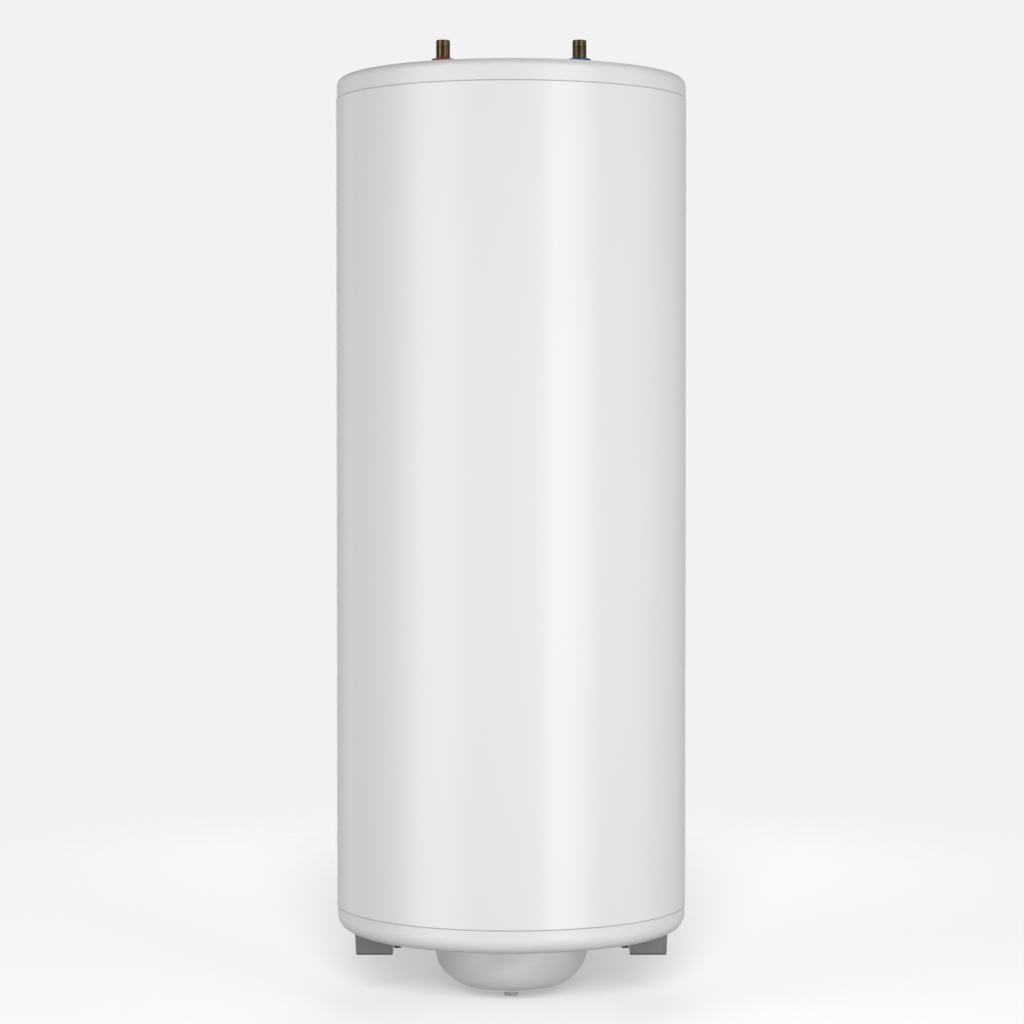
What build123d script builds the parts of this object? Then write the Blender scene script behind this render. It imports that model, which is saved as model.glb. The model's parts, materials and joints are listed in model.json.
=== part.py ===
from build123d import *
import os
from math import asin, cos, pi, sin

# Electric storage water heater of the 200 litre class: a slim upright cylinder
# in a painted steel jacket, with two 22 mm pipe stubs on top, a bowl-shaped
# service cover under it and four short feet. Origin: centre of the plane that
# the feet stand on. +Z up, -Y is the front, +X the right as seen from the front.

# Jacket and its two covers
BODY_R = 275.0          # outer radius of the jacket
SHEET_T = 1.0           # jacket sheet
JACKET_H = 1259.0       # jacket height, seam to seam
HEM_W = 4.5             # width of the jacket's turned-in hems
COVER_INSET = 1.4       # step from the jacket in to the covers' walls
COVER_T = 2.5           # wall of both covers
SEAM_GAP = 1.6          # height of the groove at each seam
SEAM_DEPTH = 1.2        # depth of that groove
LIP_H = 15.0            # covers' lips inside the jacket
LIP_FIT = 0.3           # clearance of the lips in the hems
TOP_WALL_H = 22.5       # straight wall of the top cover above the seam
TOP_CORNER_R = 12.0
TOP_DOME_R = 2200.0
PAN_WALL_H = 15.8       # straight wall of the bottom cover below the seam
PAN_CORNER_R = 23.0
PAN_DOME_R = 1705.0
PAN_BASE_Z = 8.3        # lowest point of the bottom cover above the feet's base
SERVICE_R = 96.0        # service opening in the bottom cover
SERVICE_RIM_H = 26.0    # upturned rim of that opening
SERVICE_RIM_T = 2.0

# Rear lap joint of the jacket
LAP_ARC = 7.0           # degrees
LAP_T = 1.0
LAP_FIT = 0.05          # clearance of the strip on the jacket
RIVET_COUNT = 13
RIVET_PITCH = 95.0
RIVET_R = 2.0
RIVET_HEAD_R = 4.0
RIVET_HEAD_H = 1.6

# Pressure vessel
INSULATION = 39.0       # foam thickness around the vessel
TANK_T = 2.5
CROWN_R = 440.0         # dished ends
KNUCKLE_R = 45.0
TANK_BASE_Z = 48.0      # lowest point of the lower end
TANK_TOP_GAP = 36.0     # foam above the upper end
FOAM_GAP = 0.3          # shrinkage gap between foam and metal

# Pipe stubs and what is on them
PIPE_R = 11.0           # turned end of the stub, 22 mm across
PIPE_BODY_R = 11.3      # stub below its turned end
PIPE_T = 2.0
PIPE_X = 107.0          # half the pipe spacing
PIPE_RISE = 46.5        # stub above the top cover's crown
PIPE_DEPTH = 20.0       # stub below the vessel's upper end
PIPE_CHAMFER = 0.8
ROSETTE_R = 18.0
ROSETTE_H = 18.6        # above the top cover's crown
ROSETTE_FALL = 1.6      # the collars' tops slope down by this towards their edges
ROSETTE_FLAT = 1.5      # width of the flat ring round the stub
ROSETTE_EDGE = 0.6      # rounding where the slope meets the side
PIPE_FIT = 0.1
LINER_T = 1.5
LINER_SET = 3.0         # liners end this far below the stub's rim
DIP_R = 7.5
DIP_T = 1.5
DIP_COLLAR_H = 24.0
DIP_END_Z = 96.0
DIFFUSER_R = 14.0
DIFFUSER_H = 42.0
DIFFUSER_T = 2.0
DIFFUSER_FLOOR = 18.0   # floor of the diffuser below the dip tube's end
PLUG_Y = 160.0          # foam filling hole, towards the rear
PLUG_R = 10.0
PLUG_HEAD_R = 13.5
PLUG_HEAD_H = 2.0

# Flanged neck, flange plate and what the plate carries
NECK_R = 62.0
NECK_T = 6.0
NECK_IN = 8.0           # neck above the vessel's wall
RING_R = 88.0
RING_T = 10.0
RING_Z = 24.0           # sealing face of the ring
GASKET_R = 68.0
GASKET_T = 2.0
PLATE_T = 5.0
STUD_COUNT = 8
STUD_PCD = 150.0
STUD_R = 4.0
STUD_SEAT = 8.0         # studs run this far up into the ring
STUD_END = 1.5          # studs stand out of the nuts by this
NUT_AF = 13.0
NUT_H = 6.5
HOLE_FIT = 0.5

ELEMENT_R = 4.1
ELEMENT_COUNT = 3
ELEMENT_IN_R = 20.0     # inner legs from the axis
ELEMENT_OUT_R = 44.0
ELEMENT_H = 360.0
ELEMENT_FIT = 0.1
BEAD_H = 7.0
PIN_R = 1.8
PIN_H = 7.0

POCKET_X, POCKET_Y = -27.7, 16.0
POCKET_R = 6.0
POCKET_T = 2.0
POCKET_H = 300.0
POCKET_TAIL = 3.0
PROBE_R = 3.2
PROBE_END_GAP = 12.0

ANODE_Y = -32.0
ANODE_R = 11.0
ANODE_H = 420.0
ANODE_CORE_R = 4.0
ANODE_CORE_H = 35.0
ANODE_SEAL_T = 5.0
ANODE_TAIL = 9.0

# Controls under the flange plate
BRACKET_Z = 6.0         # upper face of the control bracket
BRACKET_T = 1.5
BRACKET_X = 72.0
BRACKET_BACK_Y = 60.0
BRACKET_STRIP_Y = 50.5
BRACKET_CUT_X = 17.0
BRACKET_LEFT_Y = 1.0
BRACKET_RIGHT_Y = 12.0
TAB_W = 20.0
TAB_LEFT_X = -54.0
TAB_RIGHT_X = 38.0

STAT_X, STAT_Y = -45.0, 29.0
STAT_L, STAT_W, STAT_H = 52.0, 54.0, 40.0
STAT_EDGE_R = 4.0
STAT_FACE_R = 1.5
KNOB_Y = 18.0
KNOB_R = 13.0
KNOB_SKIRT_H = 3.0
KNOB_H = 13.0
KNOB_GRIP_W = 5.0
KNOB_GAP = 0.3
SHAFT_R = 3.0
SHAFT_H = 6.0
SHAFT_FIT = 0.08
RESET_Y = 45.0
RESET_R = 3.5
RESET_FIT = 0.3
RESET_H = 10.0
RESET_PROUD = 4.0
RESET_STROKE = 2.0
RESET_BOSS_R = 6.0
RESET_BOSS_H = 1.2

BLOCK_X, BLOCK_Y = 45.0, 33.0
BLOCK_L, BLOCK_W, BLOCK_H = 46.0, 26.0, 24.0
POLE_X = (27.0, 40.0, 54.0)
POLE_R = 3.5
POLE_H = 1.2
POLE_GROOVE = 2.0
LEAD_R = 1.3
LIVE_Z = -6.0
NEUTRAL_Z = -13.0
EARTH_Z = -12.0
LIVE_BENDS = [21.5, 13.4]
NEUTRAL_BENDS = [24.0, 80.0, 18.0]
EARTH_BEND = 10.0
LIVE_END_X = -33.0
LIVE_Y = -28.0
NEUTRAL_END_X = -46.0
NEUTRAL_Y = -30.0
NEUTRAL_MID_Y = -40.0
EARTH_Y = -8.0
EARTH_R = 2.5
EARTH_TAIL = 14.0
EARTH_NUT_AF = 8.0
EARTH_NUT_H = 4.0
LUG_R = 5.5
LUG_T = 1.0
LUG_REACH = 6.0

# Service cover and its screw
CAP_R = 120.0
CAP_T = 2.5
CAP_CORNER_Z = -6.7     # height where the cover's wall starts to round in
CAP_CORNER_R = 57.5
CAP_DOME_R = 275.0
CAP_GAP = 0.35          # running gap between cover and body
CAP_STUD_R = 3.0
CAP_STUD_NUT_AF = 10.0
CAP_STUD_NUT_H = 5.0
CAP_STUD_SHORT = 7.0    # stud ends this far inside the cover's crown
SCREW_R = 11.0
SCREW_H = 9.6
SCREW_SLEEVE_R = 5.0
SCREW_SLEEVE_H = 15.0
SCREW_BORE = 0.1        # clearance on the stud
SCREW_BORE_PAST = 3.0
SCREW_FLUTES = 12
SCREW_FLUTE_R = 1.5
GROMMET_R = 6.0
GROMMET_LIP_R = 8.4
GROMMET_LIP_T = 2.0
GROMMET_Z = 2.2
GROMMET_SLIT = 0.5      # clearance of the groove on the curved wall
GROMMET_DIMPLE_R = 5.0
GROMMET_DIMPLE_H = 1.2

# Feet, their pads and the brackets that carry the vessel on them
FOOT_INSET = 63.8       # middle of the foot's base inside the jacket's side
FOOT_Y = 85.0
FOOT_W = 57.1
FOOT_D = 50.0
FOOT_T = 3.0
FOOT_BASE_T = 4.0
FOOT_LEAN = 0.04        # the sides lean outwards by this per unit of height
FOOT_TOP = 45.0         # blank height before it is cut to the bottom cover
PAD_T = 3.0
PAD_INSET = 0.6
ANCHOR_R = 5.5          # hole for an M10 bolt
LUG_W = 14.0
LUG_Z = 14.0
LUG_BOLT_R = 3.0
LUG_BOLT_PITCH = 24.0
LUG_BOLT_HEAD_R = 5.5
LUG_BOLT_HEAD_H = 4.5
CRADLE_RISE = 9.9       # top of the brackets' base plates above the bottom cover, at a foot
CRADLE_WEB_IN = 5.6     # web of a bracket inside the middle of its foot
CRADLE_WEB_T = 6.0
CRADLE_WEB_W = 34.0

# Heights and radii that follow
JACKET_IN_R = BODY_R - SHEET_T
HEM_R = BODY_R - HEM_W
WALL_R = BODY_R - COVER_INSET
WALL_IN_R = WALL_R - COVER_T
LIP_R = HEM_R - LIP_FIT
LIP_IN_R = LIP_R - COVER_T
GROOVE_R = WALL_R - SEAM_DEPTH
TANK_R = BODY_R - SHEET_T - INSULATION
FOOT_X = BODY_R - FOOT_INSET
CRADLE_WEB_X = FOOT_X - CRADLE_WEB_IN


def dish(wall_r, rim_z, corner_r, dome_r, side):
    """Points (radius, height) along a dished end, from its rim to its apex.

    side is 1 for an upper end and -1 for a lower one. The corner arc runs
    through the first three points and the dome arc through the last three.
    """
    across, reach = wall_r - corner_r, dome_r - corner_r
    tilt = asin(across / reach)
    centre_z = rim_z - side * reach * cos(tilt)

    def corner(a):
        return (across + corner_r * sin(a), rim_z + side * corner_r * cos(a))

    def dome(a):
        return (dome_r * sin(a), centre_z + side * dome_r * cos(a))

    return (wall_r, rim_z), corner((tilt + pi / 2) / 2), corner(tilt), dome(tilt / 2), dome(0)


def dish_arcs(points):
    """Draw the corner arc and the dome arc of a dished end."""
    rim, bend, join, dome, apex = points
    ThreePointArc(rim, bend, join)
    ThreePointArc(join, dome, apex)


PAN_RIM_Z = PAN_BASE_Z - dish(WALL_R, 0, PAN_CORNER_R, PAN_DOME_R, -1)[-1][1]
SEAM_Z = PAN_RIM_Z + PAN_WALL_H
TOP_SEAM_Z = SEAM_Z + JACKET_H
TOP_RIM_Z = TOP_SEAM_Z + TOP_WALL_H
TOP_OUT = dish(WALL_R, TOP_RIM_Z, TOP_CORNER_R, TOP_DOME_R, 1)
TOP_IN = dish(WALL_IN_R, TOP_RIM_Z, TOP_CORNER_R - COVER_T, TOP_DOME_R - COVER_T, 1)
PAN_OUT = dish(WALL_R, PAN_RIM_Z, PAN_CORNER_R, PAN_DOME_R, -1)
PAN_IN = dish(WALL_IN_R, PAN_RIM_Z, PAN_CORNER_R - COVER_T, PAN_DOME_R - COVER_T, -1)
CAP_OUT = dish(CAP_R, CAP_CORNER_Z, CAP_CORNER_R, CAP_DOME_R, -1)
CAP_IN = dish(CAP_R - CAP_T, CAP_CORNER_Z, CAP_CORNER_R - CAP_T, CAP_DOME_R - CAP_T, -1)
CROWN_Z = TOP_OUT[-1][1]
CAP_Z = CAP_OUT[-1][1]
CAP_IN_Z = CAP_IN[-1][1]

HEAD_DEPTH = TANK_BASE_Z - dish(TANK_R, 0, KNUCKLE_R, CROWN_R, -1)[-1][1]
LOW_WELD_Z = HEAD_DEPTH
TANK_TOP_Z = CROWN_Z - COVER_T - TANK_TOP_GAP
HIGH_WELD_Z = TANK_TOP_Z - dish(TANK_R, 0, KNUCKLE_R, CROWN_R, 1)[-1][1]
LOW_HEAD = dish(TANK_R, LOW_WELD_Z, KNUCKLE_R, CROWN_R, -1)
LOW_HEAD_IN = dish(TANK_R - TANK_T, LOW_WELD_Z, KNUCKLE_R - TANK_T, CROWN_R - TANK_T, -1)
HIGH_HEAD = dish(TANK_R, HIGH_WELD_Z, KNUCKLE_R, CROWN_R, 1)
HIGH_HEAD_IN = dish(TANK_R - TANK_T, HIGH_WELD_Z, KNUCKLE_R - TANK_T, CROWN_R - TANK_T, 1)


def sphere_drop(radius, across):
    """How far a sphere of this radius falls away at a distance from its pole."""
    return radius - (radius ** 2 - across ** 2) ** 0.5


PIPE_TOP_Z = CROWN_Z + PIPE_RISE
PIPE_BASE_Z = TANK_TOP_Z - sphere_drop(CROWN_R, PIPE_X) - PIPE_DEPTH
ROSETTE_TOP_Z = CROWN_Z + ROSETTE_H
PLATE_TOP_Z = RING_Z - GASKET_T
PLATE_Z = PLATE_TOP_Z - PLATE_T
NUT_Z = PLATE_Z - NUT_H
BRACKET_LOW_Z = BRACKET_Z - BRACKET_T
STAT_LOW_Z = BRACKET_LOW_Z - STAT_H
BLOCK_LOW_Z = BRACKET_LOW_Z - BLOCK_H
CAP_RIM_Z = PAN_BASE_Z + sphere_drop(PAN_DOME_R, CAP_R - CAP_T) - CAP_GAP
SCREW_LOW_Z = CAP_Z - SCREW_H
CRADLE_TOP = PAN_BASE_Z + sphere_drop(PAN_DOME_R, FOOT_X) + CRADLE_RISE
LUG_X = FOOT_X - FOOT_W / 2 - LUG_W / 2

os.makedirs("parts", exist_ok=True)


def cylinder_on(radius, low, high, mode=Mode.ADD):
    """Upright cylinder between two heights at the current locations."""
    with Locations((0, 0, low)):
        Cylinder(radius, high - low, align=(Align.CENTER, Align.CENTER, Align.MIN), mode=mode)


def tube(radius, inner, low, high):
    """Upright tube between two heights at the current locations."""
    cylinder_on(radius, low, high)
    cylinder_on(inner, low, high, Mode.SUBTRACT)


# Solids that only serve to trim others to a curved face
with BuildPart() as top_envelope:
    with BuildSketch(Plane.XZ):
        with BuildLine():
            Polyline((0, CROWN_Z - 60), (WALL_R, CROWN_Z - 60), TOP_OUT[0])
            dish_arcs(TOP_OUT)
            Line(TOP_OUT[-1], (0, CROWN_Z - 60))
        make_face()
    revolve(axis=Axis.Z)

with BuildPart() as pan_envelope:
    with BuildSketch(Plane.XZ):
        with BuildLine():
            Polyline((0, SEAM_Z), (WALL_R, SEAM_Z), PAN_OUT[0])
            dish_arcs(PAN_OUT)
            Line(PAN_OUT[-1], (0, SEAM_Z))
        make_face()
    revolve(axis=Axis.Z)

with BuildPart() as pan_room:
    with BuildSketch(Plane.XZ):
        with BuildLine():
            Polyline((0, SEAM_Z), (WALL_IN_R, SEAM_Z), PAN_IN[0])
            dish_arcs(PAN_IN)
            Line(PAN_IN[-1], (0, SEAM_Z))
        make_face()
    revolve(axis=Axis.Z)


with BuildPart() as vessel_envelope:
    with BuildSketch(Plane.XZ):
        with BuildLine():
            dish_arcs(LOW_HEAD)
            dish_arcs(HIGH_HEAD)
            Line(LOW_HEAD[0], HIGH_HEAD[0])
            Line(LOW_HEAD[-1], HIGH_HEAD[-1])
        make_face()
    revolve(axis=Axis.Z)

with BuildPart() as vessel_room:
    grow = FOAM_GAP
    room_low = dish(TANK_R + grow, LOW_WELD_Z, KNUCKLE_R + grow, CROWN_R + grow, -1)
    room_high = dish(TANK_R + grow, HIGH_WELD_Z, KNUCKLE_R + grow, CROWN_R + grow, 1)
    with BuildSketch(Plane.XZ):
        with BuildLine():
            dish_arcs(room_low)
            dish_arcs(room_high)
            Line(room_low[0], room_high[0])
            Line(room_low[-1], room_high[-1])
        make_face()
    revolve(axis=Axis.Z)

# Jacket: rolled sheet with both rims hemmed inwards
with BuildPart() as jacket:
    with BuildSketch(Plane.XZ):
        with BuildLine():
            Polyline(
                (HEM_R, SEAM_Z), (BODY_R, SEAM_Z), (BODY_R, TOP_SEAM_Z), (HEM_R, TOP_SEAM_Z),
                (HEM_R, TOP_SEAM_Z - SHEET_T), (JACKET_IN_R, TOP_SEAM_Z - SHEET_T),
                (JACKET_IN_R, SEAM_Z + SHEET_T), (HEM_R, SEAM_Z + SHEET_T), close=True,
            )
        make_face()
    revolve(axis=Axis.Z)
    rivet_z = SEAM_Z + JACKET_H / 2
    with Locations(Location((0, BODY_R, rivet_z), (-90, 0, 0))):
        with GridLocations(1, RIVET_PITCH, 1, RIVET_COUNT):
            Cylinder(RIVET_R, 12, mode=Mode.SUBTRACT)
jacket.part.label = "jacket"
export_step(jacket.part, "parts/jacket.step")

with BuildPart() as jacket_lap_strip:
    with Locations(Location((0, 0, rivet_z), (0, 0, 90 - LAP_ARC / 2))):
        Cylinder(BODY_R + LAP_T, JACKET_H, arc_size=LAP_ARC,
                 align=(Align.NONE, Align.NONE, Align.CENTER))
    with Locations((0, 0, rivet_z)):
        Cylinder(BODY_R + LAP_FIT, JACKET_H, mode=Mode.SUBTRACT)
    with Locations(Location((0, BODY_R, rivet_z), (-90, 0, 0))):
        with GridLocations(1, RIVET_PITCH, 1, RIVET_COUNT):
            Cylinder(RIVET_R, 12, mode=Mode.SUBTRACT)
jacket_lap_strip.part.label = "jacket_lap_strip"
export_step(jacket_lap_strip.part, "parts/jacket_lap_strip.step")

with BuildPart() as jacket_rivets:
    with Locations(Location((0, JACKET_IN_R, rivet_z), (-90, 0, 0))):
        with GridLocations(1, RIVET_PITCH, 1, RIVET_COUNT):
            cylinder_on(RIVET_R, 0, SHEET_T + LAP_T)
            with Locations((0, 0, SHEET_T + LAP_T)):
                Cone(RIVET_HEAD_R, RIVET_HEAD_R * 0.6, RIVET_HEAD_H,
                     align=(Align.CENTER, Align.CENTER, Align.MIN))
jacket_rivets.part.label = "jacket_rivets"
export_step(jacket_rivets.part, "parts/jacket_rivets.step")

# Top cover: shallow dome, rounded edge, seam groove and a lip inside the jacket
with BuildPart() as top_cover:
    with BuildSketch(Plane.XZ):
        with BuildLine():
            Polyline(
                (LIP_IN_R, TOP_SEAM_Z - LIP_H), (LIP_R, TOP_SEAM_Z - LIP_H), (LIP_R, TOP_SEAM_Z),
                (GROOVE_R, TOP_SEAM_Z), (GROOVE_R, TOP_SEAM_Z + SEAM_GAP),
                (WALL_R, TOP_SEAM_Z + SEAM_GAP), TOP_OUT[0],
            )
            dish_arcs(TOP_OUT)
            Line(TOP_OUT[-1], TOP_IN[-1])
            dish_arcs(TOP_IN)
            Polyline(
                TOP_IN[0], (WALL_IN_R, TOP_SEAM_Z + LIP_H / 2), (LIP_IN_R, TOP_SEAM_Z + LIP_H / 4),
                (LIP_IN_R, TOP_SEAM_Z - LIP_H),
            )
        make_face()
    revolve(axis=Axis.Z)
    with Locations((-PIPE_X, 0), (PIPE_X, 0)):
        cylinder_on(PIPE_BODY_R + HOLE_FIT, CROWN_Z - 20, CROWN_Z + 20, Mode.SUBTRACT)
    with Locations((0, PLUG_Y)):
        cylinder_on(PLUG_R, CROWN_Z - 30, CROWN_Z + 20, Mode.SUBTRACT)
top_cover.part.label = "top_cover"
export_step(top_cover.part, "parts/top_cover.step")

with BuildPart() as foam_fill_plug:
    plug_z = CROWN_Z - sphere_drop(TOP_DOME_R, PLUG_Y)
    with Locations((0, PLUG_Y)):
        cylinder_on(PLUG_HEAD_R, plug_z - 4, plug_z + PLUG_HEAD_H)
    fillet(faces().sort_by(Axis.Z)[-1].edges(), PLUG_HEAD_H * 0.4)
    add(top_envelope.part, mode=Mode.SUBTRACT)
    with Locations((0, PLUG_Y)):
        cylinder_on(PLUG_R, plug_z - COVER_T, plug_z + PLUG_HEAD_H / 2)
foam_fill_plug.part.label = "foam_fill_plug"
export_step(foam_fill_plug.part, "parts/foam_fill_plug.step")

# Bottom cover: dished pan with the service opening and the feet's screw holes
with BuildPart() as bottom_cover:
    with BuildSketch(Plane.XZ):
        with BuildLine():
            Polyline(
                (LIP_IN_R, SEAM_Z + LIP_H), (LIP_R, SEAM_Z + LIP_H), (LIP_R, SEAM_Z),
                (GROOVE_R, SEAM_Z), (GROOVE_R, SEAM_Z - SEAM_GAP), (WALL_R, SEAM_Z - SEAM_GAP),
                PAN_OUT[0],
            )
            dish_arcs(PAN_OUT)
            Line(PAN_OUT[-1], PAN_IN[-1])
            dish_arcs(PAN_IN)
            Polyline(
                PAN_IN[0], (WALL_IN_R, SEAM_Z - LIP_H / 2), (LIP_IN_R, SEAM_Z - LIP_H / 4),
                (LIP_IN_R, SEAM_Z + LIP_H),
            )
        make_face()
    revolve(axis=Axis.Z)
    rim_low = PAN_BASE_Z + sphere_drop(PAN_DOME_R, SERVICE_R)
    cylinder_on(SERVICE_R + SERVICE_RIM_T, rim_low + 1, rim_low + SERVICE_RIM_H)
    cylinder_on(SERVICE_R, -20, SEAM_Z, Mode.SUBTRACT)
    with GridLocations(2 * LUG_X, 2 * FOOT_Y, 2, 2):
        with GridLocations(1, LUG_BOLT_PITCH, 1, 2):
            cylinder_on(LUG_BOLT_R, 0, SEAM_Z, Mode.SUBTRACT)
bottom_cover.part.label = "bottom_cover"
export_step(bottom_cover.part, "parts/bottom_cover.step")

# Pressure vessel: rolled shell and two dished ends, butt-welded
with BuildPart() as tank_shell:
    tube(TANK_R, TANK_R - TANK_T, LOW_WELD_Z, HIGH_WELD_Z)
tank_shell.part.label = "tank_shell"
export_step(tank_shell.part, "parts/tank_shell.step")

with BuildPart() as tank_top_head:
    with BuildSketch(Plane.XZ):
        with BuildLine():
            dish_arcs(HIGH_HEAD)
            dish_arcs(HIGH_HEAD_IN)
            Line(HIGH_HEAD[0], HIGH_HEAD_IN[0])
            Line(HIGH_HEAD[-1], HIGH_HEAD_IN[-1])
        make_face()
    revolve(axis=Axis.Z)
    with Locations((-PIPE_X, 0), (PIPE_X, 0)):
        cylinder_on(PIPE_BODY_R, HIGH_WELD_Z, TANK_TOP_Z + 5, Mode.SUBTRACT)
tank_top_head.part.label = "tank_top_head"
export_step(tank_top_head.part, "parts/tank_top_head.step")

with BuildPart() as tank_bottom_head:
    with BuildSketch(Plane.XZ):
        with BuildLine():
            dish_arcs(LOW_HEAD)
            dish_arcs(LOW_HEAD_IN)
            Line(LOW_HEAD[0], LOW_HEAD_IN[0])
            Line(LOW_HEAD[-1], LOW_HEAD_IN[-1])
        make_face()
    revolve(axis=Axis.Z)
    cylinder_on(NECK_R, TANK_BASE_Z - 5, LOW_WELD_Z, Mode.SUBTRACT)
tank_bottom_head.part.label = "tank_bottom_head"
export_step(tank_bottom_head.part, "parts/tank_bottom_head.step")

with BuildPart() as flange_neck:
    neck_top = TANK_BASE_Z + sphere_drop(CROWN_R, NECK_R) + NECK_IN
    cylinder_on(NECK_R, RING_Z, neck_top)
    cylinder_on(RING_R, RING_Z, RING_Z + RING_T)
    cylinder_on(NECK_R - NECK_T, RING_Z, neck_top, Mode.SUBTRACT)
    with PolarLocations(STUD_PCD / 2, STUD_COUNT, start_angle=180 / STUD_COUNT):
        cylinder_on(STUD_R, RING_Z, RING_Z + STUD_SEAT, Mode.SUBTRACT)
flange_neck.part.label = "flange_neck"
export_step(flange_neck.part, "parts/flange_neck.step")

# Brackets that carry the vessel on the feet
with BuildPart() as foot_brackets:
    cradle_in = LUG_X - LUG_W / 2
    cradle_out = FOOT_X + FOOT_W / 2
    with GridLocations(cradle_in + cradle_out, 2 * FOOT_Y, 2, 2):
        with Locations((0, 0, PAN_BASE_Z)):
            Box(cradle_out - cradle_in, FOOT_D, CRADLE_TOP - PAN_BASE_Z,
                align=(Align.CENTER, Align.CENTER, Align.MIN))
    add(pan_room.part, mode=Mode.INTERSECT)
    with GridLocations(2 * CRADLE_WEB_X, 2 * FOOT_Y, 2, 2):
        with Locations((0, 0, CRADLE_TOP)):
            Box(CRADLE_WEB_T, CRADLE_WEB_W, LOW_WELD_Z - CRADLE_TOP,
                align=(Align.CENTER, Align.CENTER, Align.MIN))
    add(vessel_envelope.part, mode=Mode.SUBTRACT)
    with GridLocations(2 * LUG_X, 2 * FOOT_Y, 2, 2):
        with GridLocations(1, LUG_BOLT_PITCH, 1, 2):
            cylinder_on(LUG_BOLT_R, 0, SEAM_Z, Mode.SUBTRACT)
foot_brackets.part.label = "foot_brackets"
export_step(foot_brackets.part, "parts/foot_brackets.step")

# Foam between vessel and jacket
with BuildPart() as insulation_foam:
    gap = FOAM_GAP
    foam_top = dish(WALL_IN_R - 2 * COVER_T, TOP_RIM_Z, TOP_CORNER_R - 2 * COVER_T,
                    TOP_DOME_R - COVER_T - gap, 1)
    foam_low = dish(WALL_IN_R - 2 * COVER_T, PAN_RIM_Z, PAN_CORNER_R - 2 * COVER_T,
                    PAN_DOME_R - COVER_T - gap, -1)
    lip_clear = LIP_IN_R - gap
    with BuildSketch(Plane.XZ):
        with BuildLine():
            dish_arcs(foam_top)
            Polyline(
                foam_top[0], (foam_top[0][0], TOP_SEAM_Z + LIP_H / 2), (lip_clear, TOP_SEAM_Z),
                (lip_clear, TOP_SEAM_Z - LIP_H - gap),
                (JACKET_IN_R - gap, TOP_SEAM_Z - LIP_H - gap),
                (JACKET_IN_R - gap, SEAM_Z + LIP_H + gap), (lip_clear, SEAM_Z + LIP_H + gap),
                (lip_clear, SEAM_Z), (foam_low[0][0], SEAM_Z - LIP_H / 2), foam_low[0],
            )
            dish_arcs(foam_low)
            Line(foam_low[-1], foam_top[-1])
        make_face()
    revolve(axis=Axis.Z)
    add(vessel_room.part, mode=Mode.SUBTRACT)
    cylinder_on(SERVICE_R + SERVICE_RIM_T + gap, -20, LOW_WELD_Z, Mode.SUBTRACT)
    with Locations((-PIPE_X, 0), (PIPE_X, 0)):
        cylinder_on(PIPE_BODY_R + gap, HIGH_WELD_Z, CROWN_Z + 5, Mode.SUBTRACT)
    with Locations((0, PLUG_Y)):
        cylinder_on(PLUG_R + gap, plug_z - 3 * COVER_T, CROWN_Z + 5, Mode.SUBTRACT)
    with GridLocations(cradle_in + cradle_out, 2 * FOOT_Y, 2, 2):
        Box(cradle_out - cradle_in + 2 * gap, FOOT_D + 2 * gap, CRADLE_TOP + gap,
            align=(Align.CENTER, Align.CENTER, Align.MIN), mode=Mode.SUBTRACT)
    with GridLocations(2 * CRADLE_WEB_X, 2 * FOOT_Y, 2, 2):
        Box(CRADLE_WEB_T + 2 * gap, CRADLE_WEB_W + 2 * gap, LOW_WELD_Z,
            align=(Align.CENTER, Align.CENTER, Align.MIN), mode=Mode.SUBTRACT)
insulation_foam.part.label = "insulation_foam"
export_step(insulation_foam.part, "parts/insulation_foam.step")

# Pipe stubs, their coloured collars, liner and dip tube
with BuildPart() as hot_outlet_pipe:
    with Locations((-PIPE_X, 0)):
        cylinder_on(PIPE_BODY_R, PIPE_BASE_Z, ROSETTE_TOP_Z)
        cylinder_on(PIPE_R, ROSETTE_TOP_Z, PIPE_TOP_Z)
        cylinder_on(PIPE_R - PIPE_T, PIPE_BASE_Z, PIPE_TOP_Z, Mode.SUBTRACT)
    chamfer(faces().sort_by(Axis.Z)[-1].edges(), PIPE_CHAMFER)
hot_outlet_pipe.part.label = "hot_outlet_pipe"
export_step(hot_outlet_pipe.part, "parts/hot_outlet_pipe.step")

with BuildPart() as cold_inlet_pipe:
    mirror(hot_outlet_pipe.part, about=Plane.YZ)
cold_inlet_pipe.part.label = "cold_inlet_pipe"
export_step(cold_inlet_pipe.part, "parts/cold_inlet_pipe.step")

with BuildPart() as hot_rosette:
    with Locations((-PIPE_X, 0)):
        cylinder_on(ROSETTE_R, CROWN_Z - 10, ROSETTE_TOP_Z - ROSETTE_FALL)
    fillet(faces().sort_by(Axis.Z)[-1].edges(), ROSETTE_EDGE)
    with Locations((-PIPE_X, 0, ROSETTE_TOP_Z - ROSETTE_FALL)):
        Cone(ROSETTE_R - ROSETTE_EDGE, PIPE_BODY_R + ROSETTE_FLAT, ROSETTE_FALL,
             align=(Align.CENTER, Align.CENTER, Align.MIN))
    add(top_envelope.part, mode=Mode.SUBTRACT)
    with Locations((-PIPE_X, 0)):
        cylinder_on(PIPE_BODY_R + PIPE_FIT, CROWN_Z - 20, ROSETTE_TOP_Z + 5, Mode.SUBTRACT)
hot_rosette.part.label = "hot_rosette"
export_step(hot_rosette.part, "parts/hot_rosette.step")

with BuildPart() as cold_rosette:
    mirror(hot_rosette.part, about=Plane.YZ)
cold_rosette.part.label = "cold_rosette"
export_step(cold_rosette.part, "parts/cold_rosette.step")

pipe_in_r = PIPE_R - PIPE_T
with BuildPart() as hot_pipe_liner:
    with Locations((-PIPE_X, 0)):
        tube(pipe_in_r - PIPE_FIT, pipe_in_r - PIPE_FIT - LINER_T, PIPE_BASE_Z,
             PIPE_TOP_Z - LINER_SET)
hot_pipe_liner.part.label = "hot_pipe_liner"
export_step(hot_pipe_liner.part, "parts/hot_pipe_liner.step")

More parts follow.
